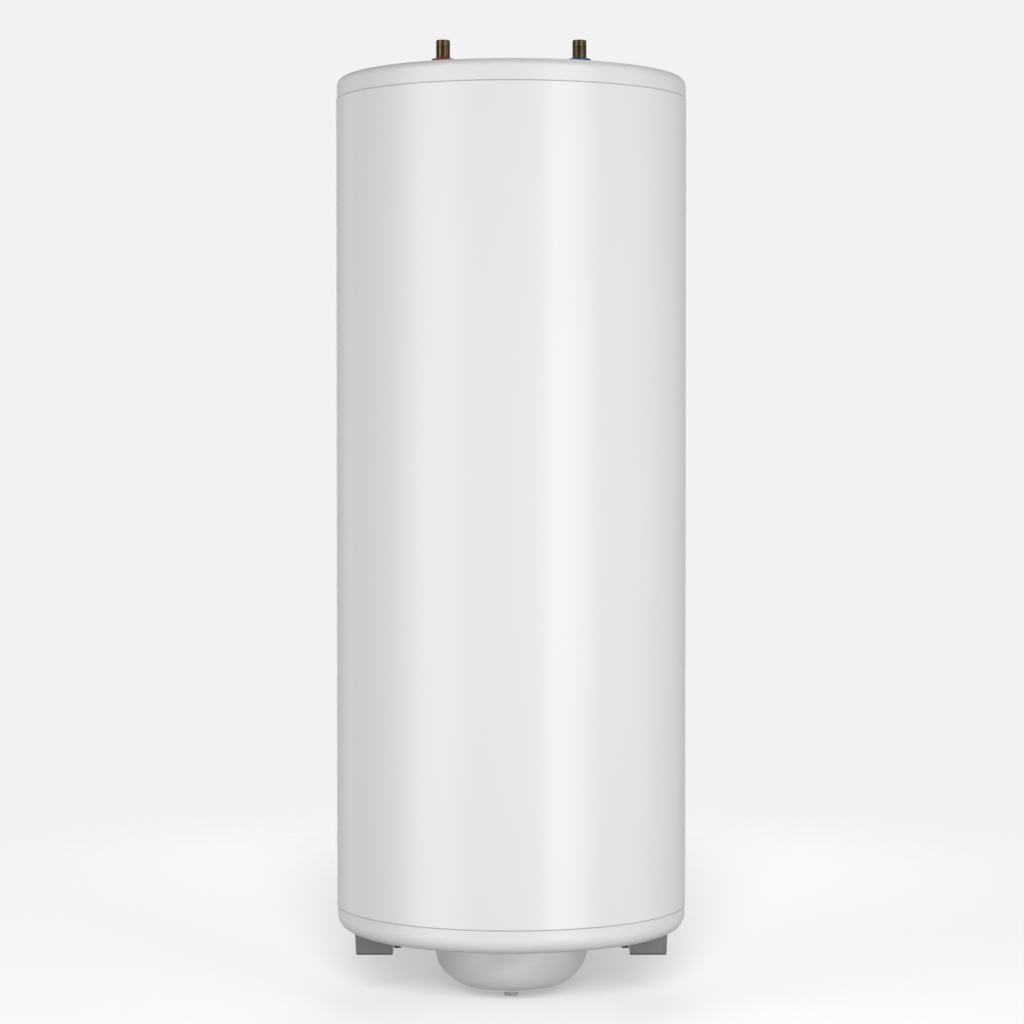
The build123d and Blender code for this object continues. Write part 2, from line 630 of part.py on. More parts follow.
with BuildPart() as cold_dip_tube:
    dip_top = PIPE_TOP_Z - LINER_SET
    with Locations((PIPE_X, 0)):
        cylinder_on(DIP_R, DIP_END_Z, dip_top)
        cylinder_on(pipe_in_r - PIPE_FIT, dip_top - DIP_COLLAR_H, dip_top)
        cylinder_on(DIP_R - DIP_T, DIP_END_Z, dip_top, Mode.SUBTRACT)
cold_dip_tube.part.label = "cold_dip_tube"
export_step(cold_dip_tube.part, "parts/cold_dip_tube.step")

with BuildPart() as inlet_diffuser:
    diffuser_z = DIP_END_Z - DIFFUSER_FLOOR
    with Locations((PIPE_X, 0)):
        cylinder_on(DIFFUSER_R, diffuser_z, diffuser_z + DIFFUSER_H)
        cylinder_on(DIFFUSER_R - DIFFUSER_T, diffuser_z + DIFFUSER_T,
                    diffuser_z + DIFFUSER_H - 3 * DIFFUSER_T, Mode.SUBTRACT)
        cylinder_on(DIP_R, DIP_END_Z - 1, diffuser_z + DIFFUSER_H, Mode.SUBTRACT)
    with Locations((PIPE_X, 0, diffuser_z + DIFFUSER_FLOOR / 2 + DIFFUSER_T)):
        with PolarLocations(DIFFUSER_R, 4, start_angle=45):
            Box(8, 7, DIFFUSER_FLOOR - 4, mode=Mode.SUBTRACT)
inlet_diffuser.part.label = "inlet_diffuser"
export_step(inlet_diffuser.part, "parts/inlet_diffuser.step")

# Flange plate with its seal, studs and nuts
leg_places = [
    (r * cos(a), r * sin(a))
    for a in (pi / 2 + 2 * pi * k / ELEMENT_COUNT for k in range(ELEMENT_COUNT))
    for r in (ELEMENT_IN_R, ELEMENT_OUT_R)
]

with BuildPart() as flange_gasket:
    tube(GASKET_R, NECK_R - NECK_T, PLATE_TOP_Z, RING_Z)
flange_gasket.part.label = "flange_gasket"
export_step(flange_gasket.part, "parts/flange_gasket.step")

with BuildPart() as flange_plate:
    cylinder_on(RING_R, PLATE_Z, PLATE_TOP_Z)
    with PolarLocations(STUD_PCD / 2, STUD_COUNT, start_angle=180 / STUD_COUNT):
        cylinder_on(STUD_R + HOLE_FIT, PLATE_Z, PLATE_TOP_Z, Mode.SUBTRACT)
    with Locations(*leg_places):
        cylinder_on(ELEMENT_R + ELEMENT_FIT, PLATE_Z, PLATE_TOP_Z, Mode.SUBTRACT)
    with Locations((POCKET_X, POCKET_Y)):
        cylinder_on(POCKET_R + ELEMENT_FIT, PLATE_Z, PLATE_TOP_Z, Mode.SUBTRACT)
    with Locations((0, ANODE_Y)):
        cylinder_on(ANODE_CORE_R + ELEMENT_FIT, PLATE_Z, PLATE_TOP_Z, Mode.SUBTRACT)
flange_plate.part.label = "flange_plate"
export_step(flange_plate.part, "parts/flange_plate.step")

with BuildPart() as flange_studs:
    with PolarLocations(STUD_PCD / 2, STUD_COUNT, start_angle=180 / STUD_COUNT):
        cylinder_on(STUD_R, NUT_Z - STUD_END, RING_Z + STUD_SEAT)
flange_studs.part.label = "flange_studs"
export_step(flange_studs.part, "parts/flange_studs.step")


with BuildPart() as flange_nut_tool:
    with BuildSketch(Plane.XY.offset(NUT_Z)):
        RegularPolygon(NUT_AF / 2, 6, major_radius=False)
        Circle(STUD_R, mode=Mode.SUBTRACT)
    extrude(amount=NUT_H)

with BuildPart() as flange_nuts:
    with PolarLocations(STUD_PCD / 2, STUD_COUNT, start_angle=180 / STUD_COUNT):
        add(flange_nut_tool.part)
flange_nuts.part.label = "flange_nuts"
export_step(flange_nuts.part, "parts/flange_nuts.step")

# Hairpin heating elements, with ceramic beads and pins at their ends
with BuildPart() as heating_element:
    bend_r = (ELEMENT_OUT_R - ELEMENT_IN_R) / 2
    bend_z = PLATE_TOP_Z + ELEMENT_H - bend_r
    for k in range(ELEMENT_COUNT):
        plane = Plane.XZ.rotated((0, 0, 90 + 360 * k / ELEMENT_COUNT))
        with BuildLine(plane) as hairpin:
            Line((ELEMENT_IN_R, PLATE_Z), (ELEMENT_IN_R, bend_z))
            ThreePointArc((ELEMENT_IN_R, bend_z), (ELEMENT_IN_R + bend_r, bend_z + bend_r),
                          (ELEMENT_OUT_R, bend_z))
            Line((ELEMENT_OUT_R, bend_z), (ELEMENT_OUT_R, PLATE_Z))
        with BuildSketch(Plane(hairpin.line @ 0, z_dir=hairpin.line % 0)):
            Circle(ELEMENT_R)
        sweep(path=hairpin.line)
heating_element.part.label = "heating_element"
export_step(heating_element.part, "parts/heating_element.step")

with BuildPart() as element_beads:
    with Locations(*leg_places):
        tube(ELEMENT_R, PIN_R, PLATE_Z - BEAD_H, PLATE_Z)
element_beads.part.label = "element_beads"
export_step(element_beads.part, "parts/element_beads.step")

with BuildPart() as element_pins:
    with Locations(*leg_places):
        cylinder_on(PIN_R, PLATE_Z - BEAD_H - PIN_H, PLATE_Z)
element_pins.part.label = "element_pins"
export_step(element_pins.part, "parts/element_pins.step")

with BuildPart() as thermostat_pocket:
    with Locations((POCKET_X, POCKET_Y)):
        cylinder_on(POCKET_R, PLATE_Z - POCKET_TAIL, PLATE_TOP_Z + POCKET_H)
        cylinder_on(POCKET_R - POCKET_T, PLATE_Z - POCKET_TAIL, PLATE_TOP_Z + POCKET_H - POCKET_T,
                    Mode.SUBTRACT)
    fillet(faces().sort_by(Axis.Z)[-1].edges(), POCKET_R * 0.5)
thermostat_pocket.part.label = "thermostat_pocket"
export_step(thermostat_pocket.part, "parts/thermostat_pocket.step")

with BuildPart() as anode_rod:
    anode_z = PLATE_TOP_Z + ANODE_SEAL_T
    with Locations((0, ANODE_Y)):
        cylinder_on(ANODE_R, anode_z, anode_z + ANODE_H)
    fillet(faces().sort_by(Axis.Z)[-1].edges(), ANODE_R * 0.3)
    with Locations((0, ANODE_Y)):
        cylinder_on(ANODE_CORE_R, anode_z, anode_z + ANODE_CORE_H, Mode.SUBTRACT)
anode_rod.part.label = "anode_rod"
export_step(anode_rod.part, "parts/anode_rod.step")

with BuildPart() as anode_core:
    with Locations((0, ANODE_Y)):
        cylinder_on(ANODE_CORE_R, PLATE_Z - ANODE_TAIL, anode_z + ANODE_CORE_H)
anode_core.part.label = "anode_core"
export_step(anode_core.part, "parts/anode_core.step")

with BuildPart() as anode_seal:
    with Locations((0, ANODE_Y)):
        tube(ANODE_R, ANODE_CORE_R, PLATE_TOP_Z, anode_z)
anode_seal.part.label = "anode_seal"
export_step(anode_seal.part, "parts/anode_seal.step")

with BuildPart() as anode_nut:
    with Locations((0, ANODE_Y)):
        add(flange_nut_tool.part)
anode_nut.part.label = "anode_nut"
export_step(anode_nut.part, "parts/anode_nut.step")

# Control bracket, thermostat, terminal block and leads
with BuildPart() as control_bracket:
    with BuildSketch(Plane.XY.offset(BRACKET_LOW_Z)):
        with BuildLine():
            Polyline(
                (-BRACKET_X, BRACKET_LEFT_Y), (-BRACKET_CUT_X, BRACKET_LEFT_Y),
                (-BRACKET_CUT_X, BRACKET_STRIP_Y), (BRACKET_CUT_X, BRACKET_STRIP_Y),
                (BRACKET_CUT_X, BRACKET_RIGHT_Y), (BRACKET_X, BRACKET_RIGHT_Y),
                (BRACKET_X, BRACKET_BACK_Y), (-BRACKET_X, BRACKET_BACK_Y), close=True,
            )
        make_face()
        with Locations((POCKET_X, POCKET_Y)):
            Circle(PROBE_R + HOLE_FIT, mode=Mode.SUBTRACT)
    extrude(amount=BRACKET_T)
    with BuildSketch(Plane.XY.offset(BRACKET_LOW_Z)):
        with Locations((TAB_LEFT_X, BRACKET_LEFT_Y + BRACKET_T / 2),
                       (TAB_RIGHT_X, BRACKET_RIGHT_Y + BRACKET_T / 2)):
            Rectangle(TAB_W, BRACKET_T)
    extrude(amount=PLATE_Z - BRACKET_LOW_Z)
control_bracket.part.label = "control_bracket"
export_step(control_bracket.part, "parts/control_bracket.step")

with BuildPart() as thermostat_body:
    with BuildSketch(Plane.XY.offset(STAT_LOW_Z)):
        with Locations((STAT_X, STAT_Y)):
            RectangleRounded(STAT_L, STAT_W, STAT_EDGE_R)
    extrude(amount=STAT_H)
    chamfer(faces().sort_by(Axis.Z)[0].edges(), STAT_FACE_R)
    with Locations((STAT_X, RESET_Y)):
        cylinder_on(RESET_BOSS_R, STAT_LOW_Z - RESET_BOSS_H, STAT_LOW_Z)
        cylinder_on(RESET_R + RESET_FIT, STAT_LOW_Z - RESET_BOSS_H,
                    STAT_LOW_Z + RESET_H - RESET_PROUD + RESET_STROKE + 1, Mode.SUBTRACT)
    with Locations((STAT_X, KNOB_Y)):
        cylinder_on(SHAFT_R + SHAFT_FIT, STAT_LOW_Z, STAT_LOW_Z + SHAFT_H + 1, Mode.SUBTRACT)
thermostat_body.part.label = "thermostat_body"
export_step(thermostat_body.part, "parts/thermostat_body.step")

with BuildPart() as thermostat_probe:
    with Locations((POCKET_X, POCKET_Y)):
        cylinder_on(PROBE_R, BRACKET_LOW_Z, PLATE_TOP_Z + POCKET_H - PROBE_END_GAP)
thermostat_probe.part.label = "thermostat_probe"
export_step(thermostat_probe.part, "parts/thermostat_probe.step")

with BuildPart() as thermostat_knob:
    knob_top = STAT_LOW_Z - KNOB_GAP
    with Locations((STAT_X, KNOB_Y)):
        cylinder_on(KNOB_R, knob_top - KNOB_SKIRT_H, knob_top)
        cylinder_on(KNOB_R * 0.75, knob_top - KNOB_SKIRT_H - 2, knob_top - KNOB_SKIRT_H)
    with BuildSketch(Plane.XY.offset(knob_top - KNOB_H)):
        with Locations((STAT_X, KNOB_Y)):
            SlotOverall(2 * KNOB_R - 3, KNOB_GRIP_W)
    extrude(amount=KNOB_H - KNOB_SKIRT_H)
    with Locations((STAT_X, KNOB_Y)):
        cylinder_on(SHAFT_R, knob_top, STAT_LOW_Z + SHAFT_H)
thermostat_knob.part.label = "thermostat_knob"
export_step(thermostat_knob.part, "parts/thermostat_knob.step")

with BuildPart() as reset_button:
    with Locations((STAT_X, RESET_Y)):
        cylinder_on(RESET_R, STAT_LOW_Z - RESET_PROUD, STAT_LOW_Z - RESET_PROUD + RESET_H)
    fillet(faces().sort_by(Axis.Z)[0].edges(), RESET_R * 0.25)
reset_button.part.label = "reset_button"
export_step(reset_button.part, "parts/reset_button.step")

with BuildPart() as terminal_block:
    with BuildSketch(Plane.XY.offset(BLOCK_LOW_Z)):
        with Locations((BLOCK_X, BLOCK_Y)):
            RectangleRounded(BLOCK_L, BLOCK_W, 2)
    extrude(amount=BLOCK_H)
    barrier_x = ((POLE_X[0] + POLE_X[1]) / 2, (POLE_X[1] + POLE_X[2]) / 2)
    with Locations(*[(x, BLOCK_Y, BLOCK_LOW_Z) for x in barrier_x]):
        Box(POLE_GROOVE, BLOCK_W, 2 * POLE_GROOVE, mode=Mode.SUBTRACT)
terminal_block.part.label = "terminal_block"
export_step(terminal_block.part, "parts/terminal_block.step")

with BuildPart() as terminal_screws:
    with Locations(*[(x, BLOCK_Y) for x in POLE_X]):
        cylinder_on(POLE_R, BLOCK_LOW_Z - POLE_H, BLOCK_LOW_Z)
    with Locations(*[(x, BLOCK_Y, BLOCK_LOW_Z - POLE_H) for x in POLE_X]):
        Box(2 * POLE_R, 1, 1, mode=Mode.SUBTRACT)
terminal_screws.part.label = "terminal_screws"
export_step(terminal_screws.part, "parts/terminal_screws.step")

block_face_y = BLOCK_Y - BLOCK_W / 2
stat_face_y = STAT_Y - STAT_W / 2


with BuildPart() as lead_live:
    with BuildLine() as live_route:
        FilletPolyline(
            (POLE_X[0], block_face_y, LIVE_Z), (POLE_X[0], LIVE_Y, LIVE_Z),
            (LIVE_END_X, LIVE_Y, LIVE_Z), (LIVE_END_X, stat_face_y, LIVE_Z),
            radius=LIVE_BENDS,
        )
    with BuildSketch(Plane(live_route.line @ 0, z_dir=live_route.line % 0)):
        Circle(LEAD_R)
    sweep(path=live_route.line)
lead_live.part.label = "lead_live"
export_step(lead_live.part, "parts/lead_live.step")

with BuildPart() as lead_neutral:
    with BuildLine() as neutral_route:
        FilletPolyline(
            (POLE_X[1], block_face_y, NEUTRAL_Z), (POLE_X[1], NEUTRAL_Y, NEUTRAL_Z),
            ((POLE_X[1] + NEUTRAL_END_X) / 2, NEUTRAL_MID_Y, NEUTRAL_Z),
            (NEUTRAL_END_X, NEUTRAL_Y, NEUTRAL_Z), (NEUTRAL_END_X, stat_face_y, NEUTRAL_Z),
            radius=NEUTRAL_BENDS,
        )
    with BuildSketch(Plane(neutral_route.line @ 0, z_dir=neutral_route.line % 0)):
        Circle(LEAD_R)
    sweep(path=neutral_route.line)
lead_neutral.part.label = "lead_neutral"
export_step(lead_neutral.part, "parts/lead_neutral.step")

with BuildPart() as earth_stud:
    with Locations((POLE_X[2], EARTH_Y)):
        cylinder_on(EARTH_R, PLATE_Z - EARTH_TAIL, PLATE_Z)
earth_stud.part.label = "earth_stud"
export_step(earth_stud.part, "parts/earth_stud.step")

lug_z = PLATE_Z - EARTH_NUT_H
with BuildPart() as earth_nuts:
    with BuildSketch(Plane.XY.offset(lug_z)):
        with Locations((POLE_X[2], EARTH_Y)):
            RegularPolygon(EARTH_NUT_AF / 2, 6, major_radius=False)
            Circle(EARTH_R, mode=Mode.SUBTRACT)
    extrude(amount=EARTH_NUT_H)
    with BuildSketch(Plane.XY.offset(lug_z - LUG_T)):
        with Locations((POLE_X[2], EARTH_Y)):
            RegularPolygon(EARTH_NUT_AF / 2, 6, major_radius=False)
            Circle(EARTH_R, mode=Mode.SUBTRACT)
    extrude(amount=-EARTH_NUT_H)
earth_nuts.part.label = "earth_nuts"
export_step(earth_nuts.part, "parts/earth_nuts.step")

with BuildPart() as earth_lug:
    with BuildSketch(Plane.XY.offset(lug_z - LUG_T)):
        with Locations((POLE_X[2], EARTH_Y)):
            Circle(LUG_R)
        with Locations((POLE_X[2], EARTH_Y - LUG_REACH)):
            Rectangle(4 * LEAD_R, 2 * LUG_REACH)
        with Locations((POLE_X[2], EARTH_Y)):
            Circle(EARTH_R, mode=Mode.SUBTRACT)
    extrude(amount=LUG_T)
earth_lug.part.label = "earth_lug"
export_step(earth_lug.part, "parts/earth_lug.step")

with BuildPart() as lead_earth:
    lug_end_y = EARTH_Y - 2 * LUG_REACH + 2 * LEAD_R
    with BuildLine() as earth_route:
        FilletPolyline(
            (POLE_X[2], block_face_y, EARTH_Z), (POLE_X[2], lug_end_y, EARTH_Z),
            (POLE_X[2], lug_end_y, lug_z - LUG_T), radius=EARTH_BEND,
        )
    with BuildSketch(Plane(earth_route.line @ 0, z_dir=earth_route.line % 0)):
        Circle(LEAD_R)
    sweep(path=earth_route.line)
lead_earth.part.label = "lead_earth"
export_step(lead_earth.part, "parts/lead_earth.step")

# Service cover, its stud and its captive screw
with BuildPart() as cover_stud:
    cylinder_on(CAP_STUD_R, CAP_IN_Z + CAP_STUD_SHORT, PLATE_Z)
cover_stud.part.label = "cover_stud"
export_step(cover_stud.part, "parts/cover_stud.step")

with BuildPart() as cover_stud_nut:
    with BuildSketch(Plane.XY.offset(PLATE_Z - CAP_STUD_NUT_H)):
        RegularPolygon(CAP_STUD_NUT_AF / 2, 6, major_radius=False)
        Circle(CAP_STUD_R, mode=Mode.SUBTRACT)
    extrude(amount=CAP_STUD_NUT_H)
cover_stud_nut.part.label = "cover_stud_nut"
export_step(cover_stud_nut.part, "parts/cover_stud_nut.step")

with BuildPart() as cover:
    with BuildSketch(Plane.XZ):
        with BuildLine():
            Line((CAP_R, CAP_RIM_Z), CAP_OUT[0])
            dish_arcs(CAP_OUT)
            Line(CAP_OUT[-1], CAP_IN[-1])
            dish_arcs(CAP_IN)
            Polyline(CAP_IN[0], (CAP_R - CAP_T, CAP_RIM_Z), (CAP_R, CAP_RIM_Z))
        make_face()
    revolve(axis=Axis.Z)
    cylinder_on(SCREW_SLEEVE_R, CAP_Z - 5, CAP_Z + 10, Mode.SUBTRACT)
    with Locations(Location((0, CAP_R, GROMMET_Z), (-90, 0, 0))):
        Cylinder(GROMMET_R, 20, mode=Mode.SUBTRACT)
cover.part.label = "cover"
export_step(cover.part, "parts/cover.step")

with BuildPart() as cover_screw:
    cylinder_on(SCREW_R, SCREW_LOW_Z, CAP_Z)
    fillet(faces().sort_by(Axis.Z)[0].edges(), 2)
    with PolarLocations(SCREW_R + SCREW_FLUTE_R * 0.4, SCREW_FLUTES):
        cylinder_on(SCREW_FLUTE_R, SCREW_LOW_Z, CAP_Z - 2, Mode.SUBTRACT)
    cylinder_on(SCREW_SLEEVE_R, CAP_Z, CAP_Z + SCREW_SLEEVE_H)
    cylinder_on(CAP_STUD_R + SCREW_BORE, CAP_IN_Z + CAP_STUD_SHORT - SCREW_BORE_PAST,
                CAP_Z + SCREW_SLEEVE_H, Mode.SUBTRACT)
cover_screw.part.label = "cover_screw"
export_step(cover_screw.part, "parts/cover_screw.step")

with BuildPart() as cable_grommet:
    wall_out = CAP_R + GROMMET_SLIT / 5
    wall_in = CAP_R - CAP_T - GROMMET_SLIT
    with Locations(Location((0, wall_in - GROMMET_LIP_T, GROMMET_Z), (-90, 0, 0))):
        cylinder_on(GROMMET_LIP_R, 0, GROMMET_LIP_T)
        cylinder_on(GROMMET_R, GROMMET_LIP_T, GROMMET_LIP_T + wall_out - wall_in)
        cylinder_on(GROMMET_LIP_R, GROMMET_LIP_T + wall_out - wall_in,
                    2 * GROMMET_LIP_T + wall_out - wall_in)
        cylinder_on(GROMMET_DIMPLE_R, 2 * GROMMET_LIP_T + wall_out - wall_in - GROMMET_DIMPLE_H,
                    2 * GROMMET_LIP_T + wall_out - wall_in, Mode.SUBTRACT)
cable_grommet.part.label = "cable_grommet"
export_step(cable_grommet.part, "parts/cable_grommet.step")

# Feet: pressed shoes, open towards the middle, with a lug on the inner side
with BuildPart() as foot_front_left:
    inner_x, outer_x = -(FOOT_X - FOOT_W / 2), -(FOOT_X + FOOT_W / 2)
    front = Plane.XZ.offset(FOOT_Y + FOOT_D / 2)
    lean = FOOT_LEAN * (FOOT_TOP - PAD_T)
    with BuildSketch(front):
        with BuildLine():
            Polyline((inner_x, PAD_T), (outer_x, PAD_T), (outer_x - lean, FOOT_TOP),
                     (inner_x - lean, FOOT_TOP), close=True)
        make_face()
    extrude(amount=-FOOT_D)
    with BuildSketch(front.offset(-FOOT_T)):
        with BuildLine():
            Polyline((inner_x - FOOT_T, PAD_T + FOOT_BASE_T), (outer_x + FOOT_T, PAD_T + FOOT_BASE_T),
                     (outer_x + FOOT_T - lean, FOOT_TOP), (inner_x - FOOT_T - lean, FOOT_TOP),
                     close=True)
        make_face()
    extrude(amount=-FOOT_D, mode=Mode.SUBTRACT)
    with Locations((inner_x + LUG_W / 2 - lean / 2, -FOOT_Y, LUG_Z)):
        Box(LUG_W + lean, FOOT_D, FOOT_TOP - LUG_Z, align=(Align.CENTER, Align.CENTER, Align.MIN))
    with BuildSketch(front.offset(-FOOT_T)):
        with BuildLine():
            Polyline((inner_x - FOOT_T, PAD_T + FOOT_BASE_T), (outer_x + FOOT_T, PAD_T + FOOT_BASE_T),
                     (outer_x + FOOT_T - lean, FOOT_TOP), (inner_x - FOOT_T - lean, FOOT_TOP),
                     close=True)
        make_face()
    extrude(amount=-FOOT_D, mode=Mode.SUBTRACT)
    add(pan_envelope.part, mode=Mode.SUBTRACT)
    with Locations((-FOOT_X, -FOOT_Y)):
        cylinder_on(ANCHOR_R, 0, PAD_T + FOOT_BASE_T, Mode.SUBTRACT)
    with Locations((-LUG_X, -FOOT_Y)):
        with GridLocations(1, LUG_BOLT_PITCH, 1, 2):
            cylinder_on(LUG_BOLT_R, 0, FOOT_TOP, Mode.SUBTRACT)
foot_front_left.part.label = "foot_front_left"
export_step(foot_front_left.part, "parts/foot_front_left.step")

with BuildPart() as foot_front_right:
    mirror(foot_front_left.part, about=Plane.YZ)
foot_front_right.part.label = "foot_front_right"
export_step(foot_front_right.part, "parts/foot_front_right.step")

with BuildPart() as foot_rear_left:
    mirror(foot_front_left.part, about=Plane.XZ)
foot_rear_left.part.label = "foot_rear_left"
export_step(foot_rear_left.part, "parts/foot_rear_left.step")

with BuildPart() as foot_rear_right:
    mirror(foot_front_right.part, about=Plane.XZ)
foot_rear_right.part.label = "foot_rear_right"
export_step(foot_rear_right.part, "parts/foot_rear_right.step")

with BuildPart() as foot_pads:
    with BuildSketch():
        with GridLocations(2 * FOOT_X, 2 * FOOT_Y, 2, 2):
            Rectangle(FOOT_W - 2 * PAD_INSET, FOOT_D - 2 * PAD_INSET)
            Circle(ANCHOR_R, mode=Mode.SUBTRACT)
    extrude(amount=PAD_T)
foot_pads.part.label = "foot_pads"
export_step(foot_pads.part, "parts/foot_pads.step")

with BuildPart() as foot_screws:
    with GridLocations(2 * LUG_X, 2 * FOOT_Y, 2, 2):
        with GridLocations(1, LUG_BOLT_PITCH, 1, 2):
            cylinder_on(LUG_BOLT_HEAD_R, LUG_Z - LUG_BOLT_HEAD_H, LUG_Z)
            cylinder_on(LUG_BOLT_R, LUG_Z, CRADLE_TOP)
foot_screws.part.label = "foot_screws"
export_step(foot_screws.part, "parts/foot_screws.step")
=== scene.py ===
"""Looks of an upright storage water heater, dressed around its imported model.

The heater is a white cylinder with two pipe stubs on top, a bowl-shaped grey
cover under it and four short feet. Blender's objects are in metres, with Z up,
the origin on the plane of the feet and the front towards -Y; sizes are named in
millimetres and become metres where a mesh is made.
"""

import json
import logging
import math
from dataclasses import dataclass, field
from enum import Enum
from typing import Any, Protocol

import bpy
import numpy as np
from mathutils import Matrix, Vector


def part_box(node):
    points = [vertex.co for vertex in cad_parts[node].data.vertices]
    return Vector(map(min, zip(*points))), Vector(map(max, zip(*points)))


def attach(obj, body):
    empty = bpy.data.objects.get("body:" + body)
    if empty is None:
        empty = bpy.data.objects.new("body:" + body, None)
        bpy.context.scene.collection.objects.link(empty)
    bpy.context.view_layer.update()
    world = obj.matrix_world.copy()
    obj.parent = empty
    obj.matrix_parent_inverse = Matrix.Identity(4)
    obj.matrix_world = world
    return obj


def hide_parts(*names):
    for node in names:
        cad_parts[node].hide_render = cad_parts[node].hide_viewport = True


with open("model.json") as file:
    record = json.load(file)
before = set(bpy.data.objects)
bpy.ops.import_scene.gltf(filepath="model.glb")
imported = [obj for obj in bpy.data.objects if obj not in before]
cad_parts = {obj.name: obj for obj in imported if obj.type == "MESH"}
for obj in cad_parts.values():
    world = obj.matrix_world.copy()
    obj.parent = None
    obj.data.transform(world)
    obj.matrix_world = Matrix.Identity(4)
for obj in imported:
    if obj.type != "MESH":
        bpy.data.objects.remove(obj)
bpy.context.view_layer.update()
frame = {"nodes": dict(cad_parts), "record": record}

log = logging.getLogger("heater")

MM = 0.001
IMAGE_PX = 1024
# Depth that two metric threads share, over their pitch
THREAD_DEPTH = 0.54

Socket = bpy.types.NodeSocket
Triple = tuple[float, float, float]


def linear(hex_colour: str, alpha: float = 1.0) -> tuple[float, float, float, float]:
    """Turn an sRGB hex colour into the linear values that a shader reads.

    Args:
        hex_colour: six hex digits, such as "F2F2F0".
        alpha: opacity that goes with it.

    Returns:
        Red, green, blue and alpha as linear numbers.
    """
    channels = [int(hex_colour[i:i + 2], 16) / 255 for i in (0, 2, 4)]
    red, green, blue = (c / 12.92 if c <= 0.04045 else ((c + 0.055) / 1.055) ** 2.4
                        for c in channels)
    return red, green, blue, alpha


def add_node(tree: bpy.types.NodeTree, kind: str, inputs: dict[str | int, Any] | None = None,
             **settings: Any) -> bpy.types.Node:
    """Add a shader node with its settings, socket values and links.

    Args:
        tree: node tree that takes the node.
        kind: Blender's name of the node type.
        inputs: socket name or index to a plain value, or to an output socket to link.
        **settings: attributes of the node itself.

    Returns:
        The new node.
    """
    node = tree.nodes.new(kind)
    for name, value in settings.items():
        setattr(node, name, value)
    for key, value in (inputs or {}).items():
        if isinstance(value, Socket):
            tree.links.new(value, node.inputs[key])
        else:
            node.inputs[key].default_value = value
    return node


def fresh_material(name: str) -> bpy.types.Material:
    """Make an empty node material with that name."""
    material = bpy.data.materials.new(name)
    material.use_nodes = True
    material.node_tree.nodes.clear()
    return material


def per_mm(size_mm: float) -> float:
    """Scale of a texture on Object coordinates whose features measure size_mm."""
    return 1.0 / (size_mm * MM)


def close_material(material: bpy.types.Material, shader: bpy.types.Node) -> bpy.types.Material:
    """Link a shader to the material's output and return the material."""
    add_node(material.node_tree, "ShaderNodeOutputMaterial", {"Surface": shader.outputs[0]})
    return material


class Surface:
    """The node tree of one material, with its patterns placed in Object coordinates."""

    def __init__(self, name: str) -> None:
        """Start an empty material with that name."""
        self.material = fresh_material(name)
        self.tree = self.material.node_tree
        self.place = add_node(self.tree, "ShaderNodeTexCoord").outputs["Object"]

    def noise(self, size_mm: float, detail: float = 2.0) -> Socket:
        """Return a noise whose blotches measure size_mm."""
        return add_node(self.tree, "ShaderNodeTexNoise", {
            "Vector": self.place, "Scale": per_mm(size_mm), "Detail": detail}).outputs["Fac"]

    def drawn_noise(self, sizes_mm: Triple, detail: float = 2.0) -> Socket:
        """Return a noise whose marks measure sizes_mm along X, Y and Z."""
        stretch = add_node(self.tree, "ShaderNodeMapping", {
            "Vector": self.place, "Scale": tuple(per_mm(size) for size in sizes_mm)})
        return add_node(self.tree, "ShaderNodeTexNoise", {
            "Vector": stretch.outputs["Vector"], "Scale": 1.0, "Detail": detail}).outputs["Fac"]

    def remap(self, value: Socket, low: float = 0.0, high: float = 1.0,
              to_low: float = 0.0, to_high: float = 1.0) -> Socket:
        """Stretch the range low to high of a value over to_low to to_high."""
        return add_node(self.tree, "ShaderNodeMapRange", {
            "Value": value, "From Min": low, "From Max": high, "To Min": to_low,
            "To Max": to_high}).outputs["Result"]

    def blend(self, factor: Socket, first: str | Socket, second: str) -> Socket:
        """Mix from a first colour, hex digits or a socket, to a second one in hex digits."""
        start = linear(first) if isinstance(first, str) else first
        return add_node(self.tree, "ShaderNodeMix", {"Factor": factor, "A": start,
                                                     "B": linear(second)},
                        data_type="RGBA").outputs["Result"]

    def close(self, colour: str | Socket, roughness: float | Socket, height: Socket,
              depth: float, metallic: float = 0.0) -> bpy.types.Material:
        """Shade the surface and return its finished material.

        Args:
            colour: base colour, as hex digits or a socket.
            roughness: roughness, as a number or a socket.
            height: pattern that tilts the gloss.
            depth: strength of that tilt.
            metallic: 1 for bare or plated metal.

        Returns:
            The material.
        """
        bump = add_node(self.tree, "ShaderNodeBump", {"Height": height, "Distance": MM,
                                                      "Strength": depth})
        shader = add_node(self.tree, "ShaderNodeBsdfPrincipled", {
            "Base Color": linear(colour) if isinstance(colour, str) else colour,
            "Metallic": metallic, "Roughness": roughness, "Normal": bump.outputs["Normal"]})
        return close_material(self.material, shader)


class Finish(Protocol):
    """What every finish offers: a name and a way to make its material."""

    name: str

    def make(self) -> bpy.types.Material:
        """Build the material."""


class Working(Enum):
    """How a metal was worked, as the size in mm along X, Y and Z of the marks that it left.

    Cast and plated metal is GRAINED: its marks run in no direction.
    """

    ROLLED = (30.0, 0.5, 0.5)
    DRAWN = (0.7, 0.7, 30.0)
    GRAINED = (1.6, 1.6, 1.6)


@dataclass(frozen=True)
class PowderCoat:
    """Polyester powder baked on sheet steel.

    The powder melts into an even white skin. It never flows quite flat, and its
    faint orange peel softens the edges of the lamps mirrored in it.
    """

    name: str = "powder_coated_sheet"
    colour: str = "F3F3F3"
    roughness: float = 0.28
    peel_mm: float = 2.2
    peel_depth: float = 0.012

    def make(self) -> bpy.types.Material:
        """Build the material: the peel is a fine noise that only tilts the gloss."""
        face = Surface(self.name)
        peel = face.noise(self.peel_mm, 1.0)
        return face.close(self.colour, self.roughness, peel, self.peel_depth)


